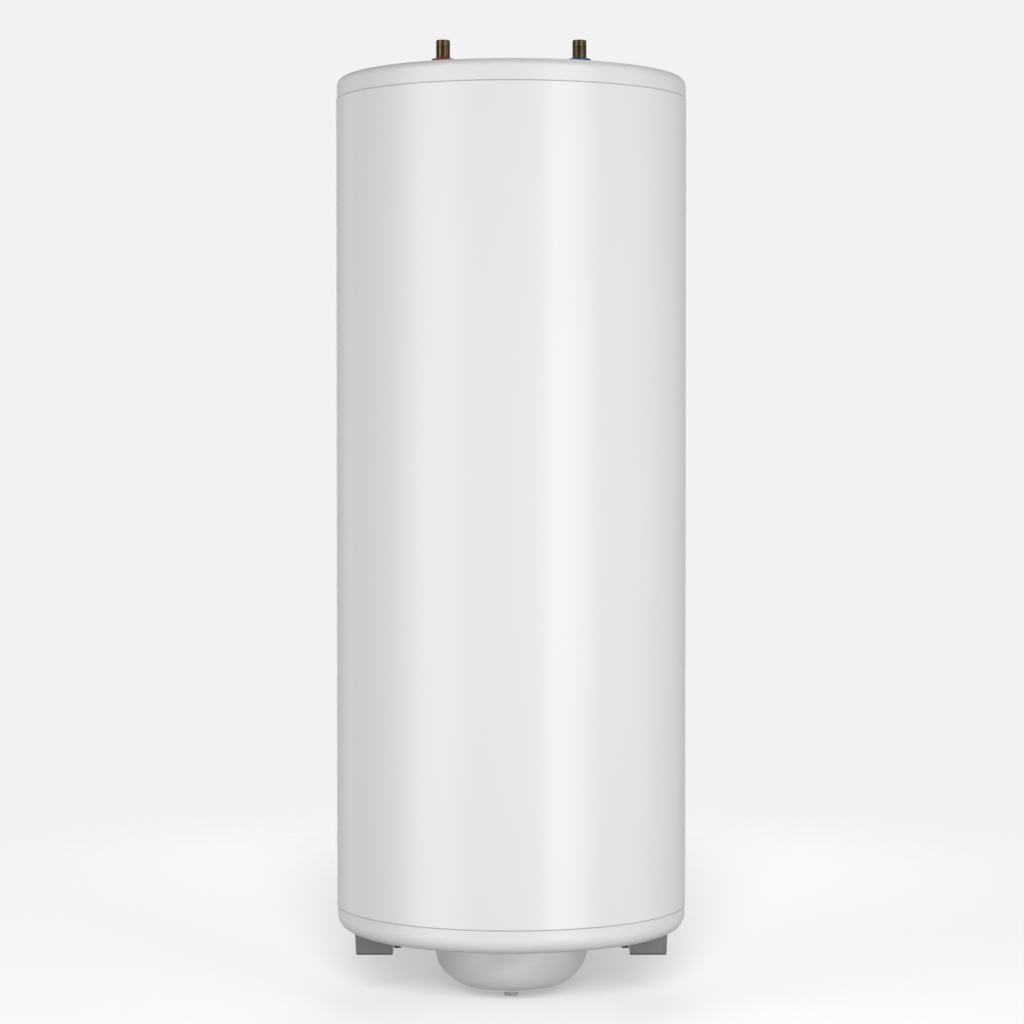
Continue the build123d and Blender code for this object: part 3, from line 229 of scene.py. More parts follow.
@dataclass(frozen=True)
class Enamel:
    """Paint baked on pressed steel, rubbed thin along its edges.

    The paint is even on the faces, with the pin-head grain of a spray gun, and
    a shade lighter wherever the press left an edge that hands and tools touch.
    """

    name: str
    colour: str
    worn: str
    roughness: float = 0.45
    grain_mm: float = 0.8
    grain_depth: float = 0.04
    edge_mm: float = 0.9
    blotch_mm: float = 7.0
    edge_from: float = 0.99
    edge_to: float = 0.86

    def make(self) -> bpy.types.Material:
        """Build the material: an edge is where a rounded normal leaves the true one."""
        face = Surface(self.name)
        true = add_node(face.tree, "ShaderNodeNewGeometry").outputs["Normal"]
        soft = add_node(face.tree, "ShaderNodeBevel", {"Radius": self.edge_mm * MM}, samples=6)
        agree = add_node(face.tree, "ShaderNodeVectorMath", {0: soft.outputs["Normal"], 1: true},
                         operation="DOT_PRODUCT")
        edge = face.remap(agree.outputs["Value"], self.edge_from, self.edge_to)
        blotch = face.noise(self.blotch_mm, 3.0)
        rubbed = add_node(face.tree, "ShaderNodeMath", {0: edge, 1: blotch}, operation="MULTIPLY")
        colour = face.blend(rubbed.outputs[0], self.colour, self.worn)
        return face.close(colour, self.roughness, face.noise(self.grain_mm), self.grain_depth)


@dataclass(frozen=True)
class Moulding:
    """Injection-moulded plastic with the fine grain of a spark-eroded mould.

    The grain breaks the gloss into a soft sheen, and the melt's flow leaves a
    drift in the shade that shows only over a hand's breadth.
    """

    name: str
    colour: str
    roughness: float = 0.45
    grain_mm: float = 0.9
    grain_depth: float = 0.03
    shade: float = 0.02
    drift_mm: float = 60.0

    def make(self) -> bpy.types.Material:
        """Build the material: one noise gives the grain, a broad one drifts the shade."""
        face = Surface(self.name)
        value = face.remap(face.noise(self.drift_mm), to_low=1.0 - self.shade,
                           to_high=1.0 + self.shade)
        colour = add_node(face.tree, "ShaderNodeHueSaturation", {
            "Color": linear(self.colour), "Value": value}).outputs["Color"]
        return face.close(colour, self.roughness, face.noise(self.grain_mm), self.grain_depth)


@dataclass(frozen=True)
class WorkedMetal:
    """Bare or plated metal that keeps the marks of its working.

    The marks draw the highlights out along one direction, and patches of dulled
    metal keep them from looking freshly polished.
    """

    name: str
    colour: str
    dulled: str
    roughness: float = 0.35
    working: Working = Working.ROLLED
    patch_mm: float = 9.0
    mark_depth: float = 0.05
    patch_from: float = 0.35
    patch_to: float = 0.65
    rougher: float = 0.08

    def make(self) -> bpy.types.Material:
        """Build the material: stretched noise draws the marks, broad noise the dulled patches."""
        face = Surface(self.name)
        worn = face.remap(face.noise(self.patch_mm, 4.0), self.patch_from, self.patch_to)
        rough = face.remap(worn, to_low=self.roughness, to_high=self.roughness + self.rougher)
        return face.close(face.blend(worn, self.colour, self.dulled), rough,
                          face.drawn_noise(self.working.value), self.mark_depth, 1.0)


@dataclass(frozen=True)
class TarnishedTube:
    """Drawn copper-alloy tube, tarnished brown, with a cleaner band at its end.

    Years in a store browned the metal unevenly in streaks along the draw. The
    end that was cut and cleaned last is a little lighter.
    """

    name: str = "tarnished_brass_tube"
    colour: str = "6C5C43"
    browned: str = "2E1E13"
    clean: str = "5E5039"
    roughness: float = 0.3
    streak_mm: Triple = (1.8, 1.8, 45.0)
    clean_from_mm: float = 1411.2
    clean_over_mm: float = 0.8
    cleared: float = 0.55
    browned_from: float = 0.36
    browned_to: float = 0.6
    streak_depth: float = 0.06

    def make(self) -> bpy.types.Material:
        """Build the material: streaks brown the tube, and height above the feet clears its end."""
        face = Surface(self.name)
        streaks = face.drawn_noise(self.streak_mm, 3.0)
        tube = face.blend(face.remap(streaks, self.browned_from, self.browned_to), self.colour,
                          self.browned)
        height = add_node(face.tree, "ShaderNodeSeparateXYZ", {"Vector": face.place}).outputs["Z"]
        end = face.remap(height, self.clean_from_mm * MM,
                         (self.clean_from_mm + self.clean_over_mm) * MM, to_high=self.cleared)
        return face.close(face.blend(end, tube, self.clean), self.roughness, streaks,
                          self.streak_depth, 1.0)


@dataclass(frozen=True)
class CellularFoam:
    """Rigid polyurethane foam, poured and cut.

    The cut opens the cells, so the face is matt and pitted, and light browns it
    in clouds.
    """

    name: str = "polyurethane_foam"
    colour: str = "E6DDB2"
    aged: str = "C9B47C"
    cell_mm: float = 1.3
    cloud_mm: float = 45.0
    roughness: float = 0.95
    cell_depth: float = 0.5

    def make(self) -> bpy.types.Material:
        """Build the material: cells pit the surface and clouds of noise brown it."""
        face = Surface(self.name)
        cells = add_node(face.tree, "ShaderNodeTexVoronoi", {"Vector": face.place,
                                                             "Scale": per_mm(self.cell_mm)})
        colour = face.blend(face.noise(self.cloud_mm, 3.0), self.colour, self.aged)
        return face.close(colour, self.roughness, cells.outputs["Distance"], self.cell_depth)


FINISHES: dict[str, Finish] = {
    "jacket_paint": PowderCoat(),
    "cover_white": Moulding("white_abs_moulding", "F0F0F0", 0.36),
    "cap_grey": Moulding("grey_polypropylene_moulding", "C2C2C2", 0.38, shade=0.015),
    "screw_plastic": Moulding("grey_nylon_moulding", "989898", 0.35),
    "foot_grey": Enamel("grey_stoved_steel", "7E7E7E", "929291", 0.5),
    # The foot screws' black is partly their phosphate coat and partly painted shade of the dark
    # strip under the pan beside each foot.
    "bolt_black": Enamel("black_phosphated_steel_with_painted_shade", "2B2B2B", "4A4A48", 0.55, 0.5, 0.06, 0.3),
    "pad_rubber": Moulding("moulded_rubber_pad", "626262", 0.8, 0.6, 0.08),
    "steel": WorkedMetal("cold_rolled_steel", "ABADAF", "9C9EA0", 0.4, Working.ROLLED, 3.0),
    "enamel_steel": Enamel("primed_vessel_steel", "43536A", "5E6E83", 0.5),
    "stub_brass": TarnishedTube(),
    "hot_red": Moulding("red_polypropylene_collar", "8F2F38", 0.35),
    "cold_blue": Moulding("blue_polypropylene_collar", "3A5490", 0.35),
    "foam": CellularFoam(),
    "element_alloy": WorkedMetal("oxidised_nickel_alloy", "8C8378", "6D665E", 0.5, Working.DRAWN),
    "bead_ceramic": Moulding("fired_steatite", "E8E4DA", 0.6, 0.5, 0.05),
    "anode_magnesium": WorkedMetal("cast_magnesium", "B2B4B4", "96989A", 0.55, Working.GRAINED),
    "seal_rubber": Moulding("black_epdm_rubber", "242424", 0.7, 0.6, 0.06),
    "control_black": Moulding("black_phenolic_moulding", "232426", 0.42),
    "knob_white": Moulding("white_polyamide_knob", "E8E8E4", 0.38),
    "reset_red": Moulding("red_acetal_button", "B3262B", 0.3),
    "block_nylon": Moulding("cream_polyamide_block", "E6E1D2", 0.45),
    "zinc": WorkedMetal("zinc_plated_steel", "C9C8BE", "A9A796", 0.28, Working.GRAINED, 5.0, 0.03),
    "wire_brown": Moulding("brown_pvc_sleeve", "5A3A26", 0.4, 1.5, 0.03),
    "wire_blue": Moulding("blue_pvc_sleeve", "2C55A0", 0.4, 1.5, 0.03),
    "wire_green": Moulding("green_pvc_sleeve", "4F8A3C", 0.4, 1.5, 0.03),
    "copper": WorkedMetal("drawn_copper", "B8714A", "8C5236", 0.35, Working.DRAWN),
    "pe_white": Moulding("white_polyethylene_tube", "E9E9E4", 0.5),
}


@dataclass
class Palette:
    """The heater's materials, each made once when a piece first asks for its slot."""

    finishes: dict[str, Finish] = field(default_factory=lambda: FINISHES)
    made: dict[str, bpy.types.Material] = field(default_factory=dict)

    def of(self, slot: str) -> bpy.types.Material:
        """Return the material of a slot."""
        if slot not in self.made:
            self.made[slot] = self.finishes[slot].make()
        return self.made[slot]


def lathe(profile: np.ndarray, segments: int,
          centre: tuple[float, float] = (0.0, 0.0)) -> np.ndarray:
    """Turn a profile round an upright axis.

    Each profile point becomes a circle whose points are the centre plus its
    radius times the cosine and sine of evenly spaced angles.

    Args:
        profile: rows of (radius, height), in mm, from the lowest point outwards and up.
        segments: points per circle.
        centre: x and y of the axis, in mm.

    Returns:
        Points in mm, as (rows, segments, 3).
    """
    angle = np.linspace(0.0, 2 * np.pi, segments, endpoint=False)
    radius, height = profile[:, :1], profile[:, 1:]
    return np.stack([centre[0] + radius * np.cos(angle), centre[1] + radius * np.sin(angle),
                     height + 0.0 * angle], axis=-1)


def thread(major_r: float, pitch: float, depth: float, low: float, high: float,
           segments: int = 24, per_pitch: int = 6) -> np.ndarray:
    """Cut a thread on an upright rod.

    The radius is the major radius less the depth times a triangle wave of
    height over pitch minus the turn, so the crest climbs one pitch per turn.
    Near both ends a 45-degree chamfer limits it.

    Args:
        major_r: outer radius in mm.
        pitch: rise per turn in mm.
        depth: depth of the groove in mm.
        low: lower end in mm.
        high: upper end in mm.
        segments: points per circle.
        per_pitch: circles per turn.

    Returns:
        Points in mm, as (rows, segments, 3).
    """
    rows = int(round((high - low) / pitch * per_pitch)) + 1
    height = np.linspace(low, high, rows)[:, None]
    angle = np.linspace(0.0, 2 * np.pi, segments, endpoint=False)[None, :]
    phase = height / pitch - angle / (2 * np.pi)
    groove = np.abs(2 * (phase - np.floor(phase)) - 1)
    to_end = np.minimum(height - low, high - height)
    radius = np.minimum(major_r - depth * groove, major_r - depth + to_end)
    ring = np.stack([radius * np.cos(angle), radius * np.sin(angle), height + 0.0 * angle], axis=-1)
    ends = [np.stack([0.0 * angle[0], 0.0 * angle[0], z + 0.0 * angle[0]], axis=-1)[None]
            for z in (low, high)]
    return np.concatenate([ends[0], ring, ends[1]])


def hexagon_nut(across_flats: float, bore_r: float, low: float, high: float,
                segments: int = 48) -> np.ndarray:
    """Shape a hexagon nut whose corners are turned off by a 30-degree cone at both ends.

    The side's radius at each angle is half the flats' distance over the cosine
    of the angle from the nearest flat, and the cone drops the side's rim by the
    radius beyond the turned circle times the tangent of 30 degrees.

    Args:
        across_flats: wrench size in mm.
        bore_r: radius of the hole in mm.
        low: lower face in mm.
        high: upper face in mm.
        segments: points per ring, a multiple of 12.

    Returns:
        Points in mm around the origin, as (rows, segments, 3).
    """
    angle = np.linspace(0.0, 2 * np.pi, segments, endpoint=False)
    side = across_flats / 2 / np.cos((angle + np.pi / 6) % (np.pi / 3) - np.pi / 6)
    level = 0.0 * angle
    turned = across_flats / 2 * 0.95 + level
    drop = (side - turned) * math.tan(math.pi / 6)
    rim = (high - low) * 0.08
    radius = np.stack([level + bore_r, level + bore_r + rim, turned, side, side, turned,
                       level + bore_r + rim, level + bore_r, level + bore_r])
    height = np.stack([level + low + rim, level + low, level + low, low + drop, high - drop,
                       level + high, level + high, level + high - rim, level + low + rim])
    return np.stack([radius * np.cos(angle), radius * np.sin(angle), height], axis=-1)


def sweep(path: np.ndarray, section: np.ndarray, up: Triple) -> np.ndarray:
    """Carry a closed section along a path and close both ends.

    Args:
        path: points in mm, as (points, 3).
        section: rows of (sideways, upwards) offsets in mm.
        up: direction that stays upwards, at a right angle to the path.

    Returns:
        Points in mm, as (rows, section points, 3).
    """
    ahead = np.gradient(path, axis=0)
    ahead /= np.linalg.norm(ahead, axis=1, keepdims=True)
    lift = np.array(up)
    side = np.cross(ahead, lift)
    rings = path[:, None] + section[None, :, :1] * side[:, None] + section[None, :, 1:] * lift
    ends = [np.repeat(rings[i].mean(axis=0)[None, None], len(section), axis=1) for i in (0, -1)]
    return np.concatenate([ends[0], rings, ends[1]])


def bar_section(width: float, height: float) -> np.ndarray:
    """Cross-section of a low bar with rounded shoulders, from 0 up to its height."""
    half, shoulder = width / 2, min(width, height) * 0.3
    return np.array([(-half, 0.0), (half, 0.0), (half, height - shoulder),
                     (half - shoulder, height), (shoulder - half, height),
                     (-half, height - shoulder)])


def at_places(points: np.ndarray, places: np.ndarray,
              turns: np.ndarray | None = None) -> np.ndarray:
    """Copy a grid of points to several places, each turned about its own upright axis.

    Args:
        points: points in mm, as (rows, columns, 3).
        places: offsets in mm, as (copies, 3).
        turns: angles in radians, one per copy.

    Returns:
        Points in mm, as (copies, rows, columns, 3).
    """
    turns = np.zeros(len(places)) if turns is None else turns
    cos, sin = np.cos(turns)[:, None, None], np.sin(turns)[:, None, None]
    x, y, z = points[None, ..., 0], points[None, ..., 1], points[None, ..., 2]
    turned = np.stack([cos * x - sin * y, sin * x + cos * y, z + 0.0 * cos], axis=-1)
    return turned + places[:, None, None, :]


def grid_mesh(name: str, points: np.ndarray, sharp_deg: float = 25.0) -> bpy.types.Mesh:
    """Make a mesh from grids that are closed across their columns.

    Args:
        name: name of the mesh.
        points: points in mm, as (copies, rows, columns, 3).
        sharp_deg: edges that bend more than this stay sharp.

    Returns:
        The mesh, in metres, smooth but for its sharp edges.
    """
    copies, rows, columns, _ = points.shape
    row, column = np.meshgrid(np.arange(rows - 1), np.arange(columns), indexing="ij")
    after = (column + 1) % columns
    quads = np.stack([row * columns + column, row * columns + after, (row + 1) * columns + after,
                      (row + 1) * columns + column], axis=-1).reshape(-1, 4)
    faces = quads[None] + (np.arange(copies) * rows * columns)[:, None, None]
    mesh = bpy.data.meshes.new(name)
    mesh.from_pydata((points.reshape(-1, 3) * MM).tolist(), [], faces.reshape(-1, 4).tolist())
    mesh.shade_smooth()
    mesh.set_sharp_from_angle(angle=math.radians(sharp_deg))
    return mesh


@dataclass
class SubAssembly:
    """A group of the heater's parts that is dressed and detailed together.

    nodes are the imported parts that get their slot's finish, and detail adds the
    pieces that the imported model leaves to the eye.
    """

    palette: Palette
    nodes: tuple[str, ...] = ()

    def dress(self) -> None:
        """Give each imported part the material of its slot."""
        slots = {part["node"]: part["material_slot"] for part in frame["record"]["subparts"]}
        for node in self.nodes:
            mesh = frame["nodes"][node].data
            mesh.materials.clear()
            mesh.materials.append(self.palette.of(slots[node]))

    def detail(self) -> None:
        """Add the group's own pieces."""

    def build(self) -> None:
        """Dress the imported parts, then add the pieces."""
        self.dress()
        self.detail()
        log.info("%s: %d parts dressed", type(self).__name__, len(self.nodes))

    def add(self, mesh: bpy.types.Mesh, slot: str, body: str = "heater",
            instead_of: str | None = None) -> bpy.types.Object:
        """Put a mesh into the scene as a piece of the heater.

        Args:
            mesh: the piece's mesh, in metres, where the piece is at rest.
            slot: material slot of the record that it takes its finish from.
            body: body that it moves with.
            instead_of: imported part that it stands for.

        Returns:
            The new object.
        """
        mesh.materials.append(self.palette.of(slot))
        piece = bpy.data.objects.new(mesh.name, mesh)
        bpy.context.scene.collection.objects.link(piece)
        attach(piece, body)
        if instead_of:
            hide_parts(instead_of)
        log.info("%s: %d faces on %s", mesh.name, len(mesh.polygons), body)
        return piece


@dataclass
class Casing(SubAssembly):
    """Jacket with its riveted rear lap, the two covers and the plug of the filling hole."""

    nodes: tuple[str, ...] = ("jacket", "jacket_lap_strip", "jacket_rivets", "top_cover",
                              "foam_fill_plug", "bottom_cover")
    rivet_count: int = 13
    rivet_pitch: float = 95.0
    head_r: float = 4.0
    head_rise: float = 1.6
    mandrel_r: float = 1.2
    edging_top_r: float = 0.45
    edging_foot_r: float = 1.2
    edging_sunk: float = 0.05
    segments: int = 28
    edging_segments: int = 360

    def detail(self) -> None:
        """Add the rivet heads and the grey edging along both ends of the jacket, which also paints
        the shade of the seams.
        """
        self.add_rivets()
        self.add_edging()

    def add_edging(self) -> None:
        """Tuck a round grey edging into the step between the jacket's ends and the covers; its grey
        is partly the trim's own and partly painted shade of the gap in the seams.
        """
        low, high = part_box("jacket")
        turn = np.radians(np.linspace(-100.0, 100.0, 11))
        for name, thick, end, way in (("top_edging_and_seam_shade", self.edging_top_r, high.z, 0.5),
                                      ("foot_edging_and_seam_shade", self.edging_foot_r, low.z, -0.5)):
            z = end / MM + thick * way
            profile = np.stack([high.x / MM - self.edging_sunk - thick + thick * np.cos(turn),
                                z + thick * np.sin(turn)], axis=1)
            # The grey edging is painted shade of the seam gap as well as a trim.
            self.add(grid_mesh(name, lathe(profile, self.edging_segments)[None]), "cap_grey")

    def add_rivets(self) -> None:
        """Add the blind rivets' domed heads, each with the broken mandrel in its middle."""
        low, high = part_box("jacket_rivets")
        middle, face = (low.z + high.z) / 2 / MM, high.y / MM - self.head_rise
        angle = np.radians(np.linspace(0.0, 78.0, 8))
        dome = np.stack([self.mandrel_r + (self.head_r - self.mandrel_r) * np.cos(angle),
                         self.head_rise * np.sin(angle)], axis=1)
        stub = np.array([(self.mandrel_r, self.head_rise * 0.55),
                         (self.mandrel_r * 0.8, self.head_rise * 0.6),
                         (0.02, self.head_rise * 0.7)])
        profile = np.concatenate([[(self.head_r, -0.2)], dome, stub])
        turned = lathe(profile, self.segments)
        upright = np.stack([turned[..., 0], turned[..., 2], -turned[..., 1]], axis=-1)
        step = (np.arange(self.rivet_count) - (self.rivet_count - 1) / 2) * self.rivet_pitch
        places = np.stack([0.0 * step, face + 0.0 * step, middle + step], axis=1)
        self.add(grid_mesh("rivet_heads", at_places(upright, places), 40.0), "zinc",
                 instead_of="jacket_rivets")


@dataclass
class Connections(SubAssembly):
    """Pipe stubs with their coloured collars, liner, dip tube and diffuser."""

    nodes: tuple[str, ...] = ("hot_outlet_pipe", "cold_inlet_pipe", "hot_rosette", "cold_rosette",
                              "hot_pipe_liner", "cold_dip_tube", "inlet_diffuser")
    bead_z: float = 1411.2
    bead_r: float = 11.0
    bead_rise: float = 0.28
    bead_w: float = 1.0
    segments: int = 72

    def detail(self) -> None:
        """Add the bead that the cutting wheel raised below each stub's cleaned end."""
        across = np.linspace(-1.0, 1.0, 9)
        profile = np.stack([self.bead_r + self.bead_rise * (1 - across ** 2) - 0.02,
                            self.bead_z + across * self.bead_w / 2], axis=1)
        for node, name in (("hot_outlet_pipe", "hot_stub_bead"),
                           ("cold_inlet_pipe", "cold_stub_bead")):
            low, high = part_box(node)
            centre = ((low.x + high.x) / 2 / MM, (low.y + high.y) / 2 / MM)
            ring = lathe(profile, self.segments, centre)
            self.add(grid_mesh(name, ring[None]), "stub_brass")


@dataclass
class Vessel(SubAssembly):
    """Foamed-in pressure vessel and the brackets that carry it, all behind the jacket."""

    nodes: tuple[str, ...] = ("tank_shell", "tank_top_head", "tank_bottom_head", "flange_neck",
                              "foot_brackets", "insulation_foam")
    bead_r: float = 62.0
    bead_w: float = 5.0
    ripple_mm: float = 3.2
    ripple_rise: float = 0.35
    ring_top: float = 34.0
    segments: int = 240

    def detail(self) -> None:
        """Add the fillet weld between the neck and its ring.

        The bead's arc bulges by one unit of its width, and a cosine of the arc
        length over the ripple's spacing raises the ripples of the weld pool.
        """
        angle = np.linspace(0.0, 2 * np.pi, self.segments, endpoint=False)[None, :]
        turn = np.radians(np.linspace(0.0, 90.0, 9))[:, None]
        ripple = self.ripple_rise * np.cos(angle * self.bead_r / self.ripple_mm * 2 * np.pi)
        reach = self.bead_w + ripple
        bulge = 1.0 - 0.35 * np.sin(2 * turn)
        radius = self.bead_r + reach * np.cos(turn) * bulge
        height = self.ring_top + reach * np.sin(turn) * bulge
        bead = np.stack([radius * np.cos(angle), radius * np.sin(angle), height], axis=-1)
        self.add(grid_mesh("neck_weld", bead[None], 60.0), "enamel_steel")


@dataclass
class HeatingFlange(SubAssembly):
    """Bolted flange plate with the element, thermostat pocket and anode on it."""

    nodes: tuple[str, ...] = ("flange_gasket", "flange_plate", "flange_studs", "flange_nuts",
                              "heating_element", "element_beads", "element_pins",
                              "thermostat_pocket", "thermostat_probe", "anode_rod", "anode_core",
                              "anode_seal", "anode_nut")
    stud_count: int = 8
    stud_pcd: float = 150.0
    stud_r: float = 4.0
    stud_pitch: float = 1.25
    nut_af: float = 13.0
    anode_y: float = -32.0

    def detail(self) -> None:
        """Add threaded studs and chamfered nuts in place of the plain ones."""
        angle = (np.arange(self.stud_count) + 0.5) * 2 * np.pi / self.stud_count
        places = np.stack([np.cos(angle), np.sin(angle), 0.0 * angle], axis=1) * self.stud_pcd / 2
        low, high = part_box("flange_studs")
        stud = thread(self.stud_r, self.stud_pitch, self.stud_pitch * THREAD_DEPTH,
                      low.z / MM, high.z / MM)
        self.add(grid_mesh("stud_threads", at_places(stud, places), 60.0), "zinc",
                 instead_of="flange_studs")
        low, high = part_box("flange_nuts")
        nut = hexagon_nut(self.nut_af, self.stud_r, low.z / MM, high.z / MM)
        self.add(grid_mesh("chamfered_flange_nuts", at_places(nut, places, angle)), "zinc",
                 instead_of="flange_nuts")
        low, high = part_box("anode_nut")
        nut = hexagon_nut(self.nut_af, self.stud_r, low.z / MM, high.z / MM)
        place = np.array([[0.0, self.anode_y, 0.0]])
        self.add(grid_mesh("chamfered_anode_nut", at_places(nut, place, np.array([math.pi / 6]))),
                 "zinc", instead_of="anode_nut")


@dataclass
class Controls(SubAssembly):
    """Thermostat, cut-out, terminal block, earth stud and leads under the flange plate."""

    nodes: tuple[str, ...] = ("control_bracket", "thermostat_body", "thermostat_knob",
                              "reset_button", "terminal_block", "terminal_screws", "lead_live",
                              "lead_neutral", "lead_earth", "earth_stud", "earth_nuts",
                              "earth_lug")
    dial_x: float = -45.0
    dial_y: float = 18.0
    face_z: float = -35.5
    knob_z: float = -48.8
    sweep_deg: float = 270.0
    tick_count: int = 21
    tick_from: float = 14.4
    tick_short: float = 15.6
    tick_long: float = 16.6
    tick_w: float = 0.5
    print_rise: float = 0.08
    digit_r: float = 18.9
    digit_h: float = 2.9
    pointer_from: float = 3.5
    pointer_to: float = 11.6
    pointer_w: float = 1.3
    pole_x: Triple = (27.0, 40.0, 54.0)
    pole_y: float = 33.0
    pole_z: float = -20.7
    slot_l: float = 5.4
    slot_w: float = 0.9
    entry_y: float = 20.0
    entry_z: Triple = (-6.0, -13.0, -12.0)
    ferrule_l: float = 5.0
    ferrule_r: float = 2.0
    earth_x: float = 54.0
    earth_y: float = -8.0
    earth_af: float = 8.0
    earth_r: float = 2.5
    earth_nut_h: float = 4.0
    earth_lug_t: float = 1.0

    def detail(self) -> None:
        """Add the dial's print, the knob's pointer, painted shade of the screw slots, ferrules and
        earth nuts.
        """
        self.add_dial()
        self.add_digits()
        self.add_pointer()
        self.add_slots()
        self.add_ferrules()
        self.add_earth_nuts()

    def add_dial(self) -> None:
        """Print evenly spaced ticks round the knob, every fourth one longer."""
        turn = np.radians(np.linspace(-self.sweep_deg / 2, self.sweep_deg / 2, self.tick_count))
        ends = np.where((np.arange(self.tick_count) % 4) == 0, self.tick_long, self.tick_short)
        ticks = []
        for angle, end in zip(turn, ends):
            way = np.array([math.sin(angle), math.cos(angle), 0.0])
            centre = np.array([self.dial_x, self.dial_y, self.face_z])
            reach = np.linspace(self.tick_from, end, 3)[:, None]
            ticks.append(sweep(centre + reach * way, bar_section(self.tick_w, self.print_rise),
                               (0.0, 0.0, -1.0)))
        self.add(grid_mesh("dial_ticks", np.stack(ticks)), "knob_white")

    def add_digits(self) -> None:
        """Print the digits 1 to 5 at the longer ticks, readable from below."""
        verts: list[np.ndarray] = []
        faces: list[tuple[int, ...]] = []
        for digit, turn in enumerate(np.radians(np.linspace(-108.0, 108.0, 5)), start=1):
            curve = bpy.data.curves.new("digit", "FONT")
            curve.body, curve.size = str(digit), self.digit_h * 1.35 * MM
            curve.align_x, curve.align_y = "CENTER", "CENTER"
            glyph = bpy.data.objects.new("digit", curve)
            flat = bpy.data.meshes.new_from_object(glyph)
            points = np.empty(len(flat.vertices) * 3)
            flat.vertices.foreach_get("co", points)
            points = points.reshape(-1, 3)
            first = sum(len(block) for block in verts)
            verts.append(np.stack([
                points[:, 0] + (self.dial_x + self.digit_r * math.sin(turn)) * MM,
                (self.dial_y + self.digit_r * math.cos(turn)) * MM - points[:, 1],
                0.0 * points[:, 2] + (self.face_z - self.print_rise) * MM], axis=1))
            faces += [tuple(first + i for i in face.vertices) for face in flat.polygons]
            bpy.data.objects.remove(glyph)
            bpy.data.curves.remove(curve)
            bpy.data.meshes.remove(flat)
        mesh = bpy.data.meshes.new("dial_digits")
        mesh.from_pydata(np.concatenate(verts).tolist(), [], faces)
        self.add(mesh, "knob_white")

    def add_pointer(self) -> None:
        """Draw the knob's red pointer across its grip, level with the grip's low face.

        The grip is narrow there, so the line stands clear of the knob. It turns
        with the knob.
        """
        reach = np.linspace(self.pointer_from, self.pointer_to, 6)
        path = np.stack([self.dial_x + 0 * reach, self.dial_y + reach,
                         self.knob_z + 0 * reach], axis=1)
        line = sweep(path, bar_section(self.pointer_w, self.print_rise), (0.0, 0.0, -1.0))
        self.add(grid_mesh("knob_pointer", line[None]), "reset_red", "temperature_knob")

    def add_slots(self) -> None:
        """Cross each terminal screw with dark bars that paint the shade of the slots in its recess.
        """
        reach = np.linspace(-self.slot_l / 2, self.slot_l / 2, 4)[:, None]
        bars = []
        for x in self.pole_x:
            for way in ((1.0, 0.0, 0.0), (0.0, 1.0, 0.0)):
                path = np.array([x, self.pole_y, self.pole_z]) + reach * np.array(way)
                bars.append(sweep(path, bar_section(self.slot_w, 0.04), (0.0, 0.0, -1.0)))
        # The dark bars are painted shade of the screw slots, not cut recesses.
        self.add(grid_mesh("terminal_slot_shade", np.stack(bars)), "control_black")

    def add_ferrules(self) -> None:
        """Sleeve each lead where it enters the terminal block with a flared ferrule."""
        turn = np.linspace(0.0, 2 * np.pi, 24, endpoint=False)
        run = np.linspace(0.0, 1.0, 7)
        radius = self.ferrule_r * (1.0 - 0.28 * run ** 0.7)
        radius = np.concatenate([[0.3], radius, [1.3]])
        along = self.entry_y + 0.4 - self.ferrule_l * np.concatenate([[0.0], run, [1.0]])
        sleeve = np.stack([radius[:, None] * np.cos(turn), along[:, None] + 0 * turn,
                           radius[:, None] * np.sin(turn)], axis=-1)
        places = np.array([(x, 0.0, z) for x, z in zip(self.pole_x, self.entry_z)])
        self.add(grid_mesh("lead_ferrules", at_places(sleeve, places), 50.0), "block_nylon")

    def add_earth_nuts(self) -> None:
        """Clamp the earth lug between two chamfered brass nuts."""
        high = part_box("earth_nuts")[1].z / MM
        lug = high - self.earth_nut_h
        low = lug - self.earth_lug_t
        pair = np.stack([hexagon_nut(self.earth_af, self.earth_r, lug, high),
                         hexagon_nut(self.earth_af, self.earth_r, low - self.earth_nut_h, low)])
        pair += np.array([self.earth_x, self.earth_y, 0.0])
        self.add(grid_mesh("chamfered_earth_nuts", pair), "copper", instead_of="earth_nuts")


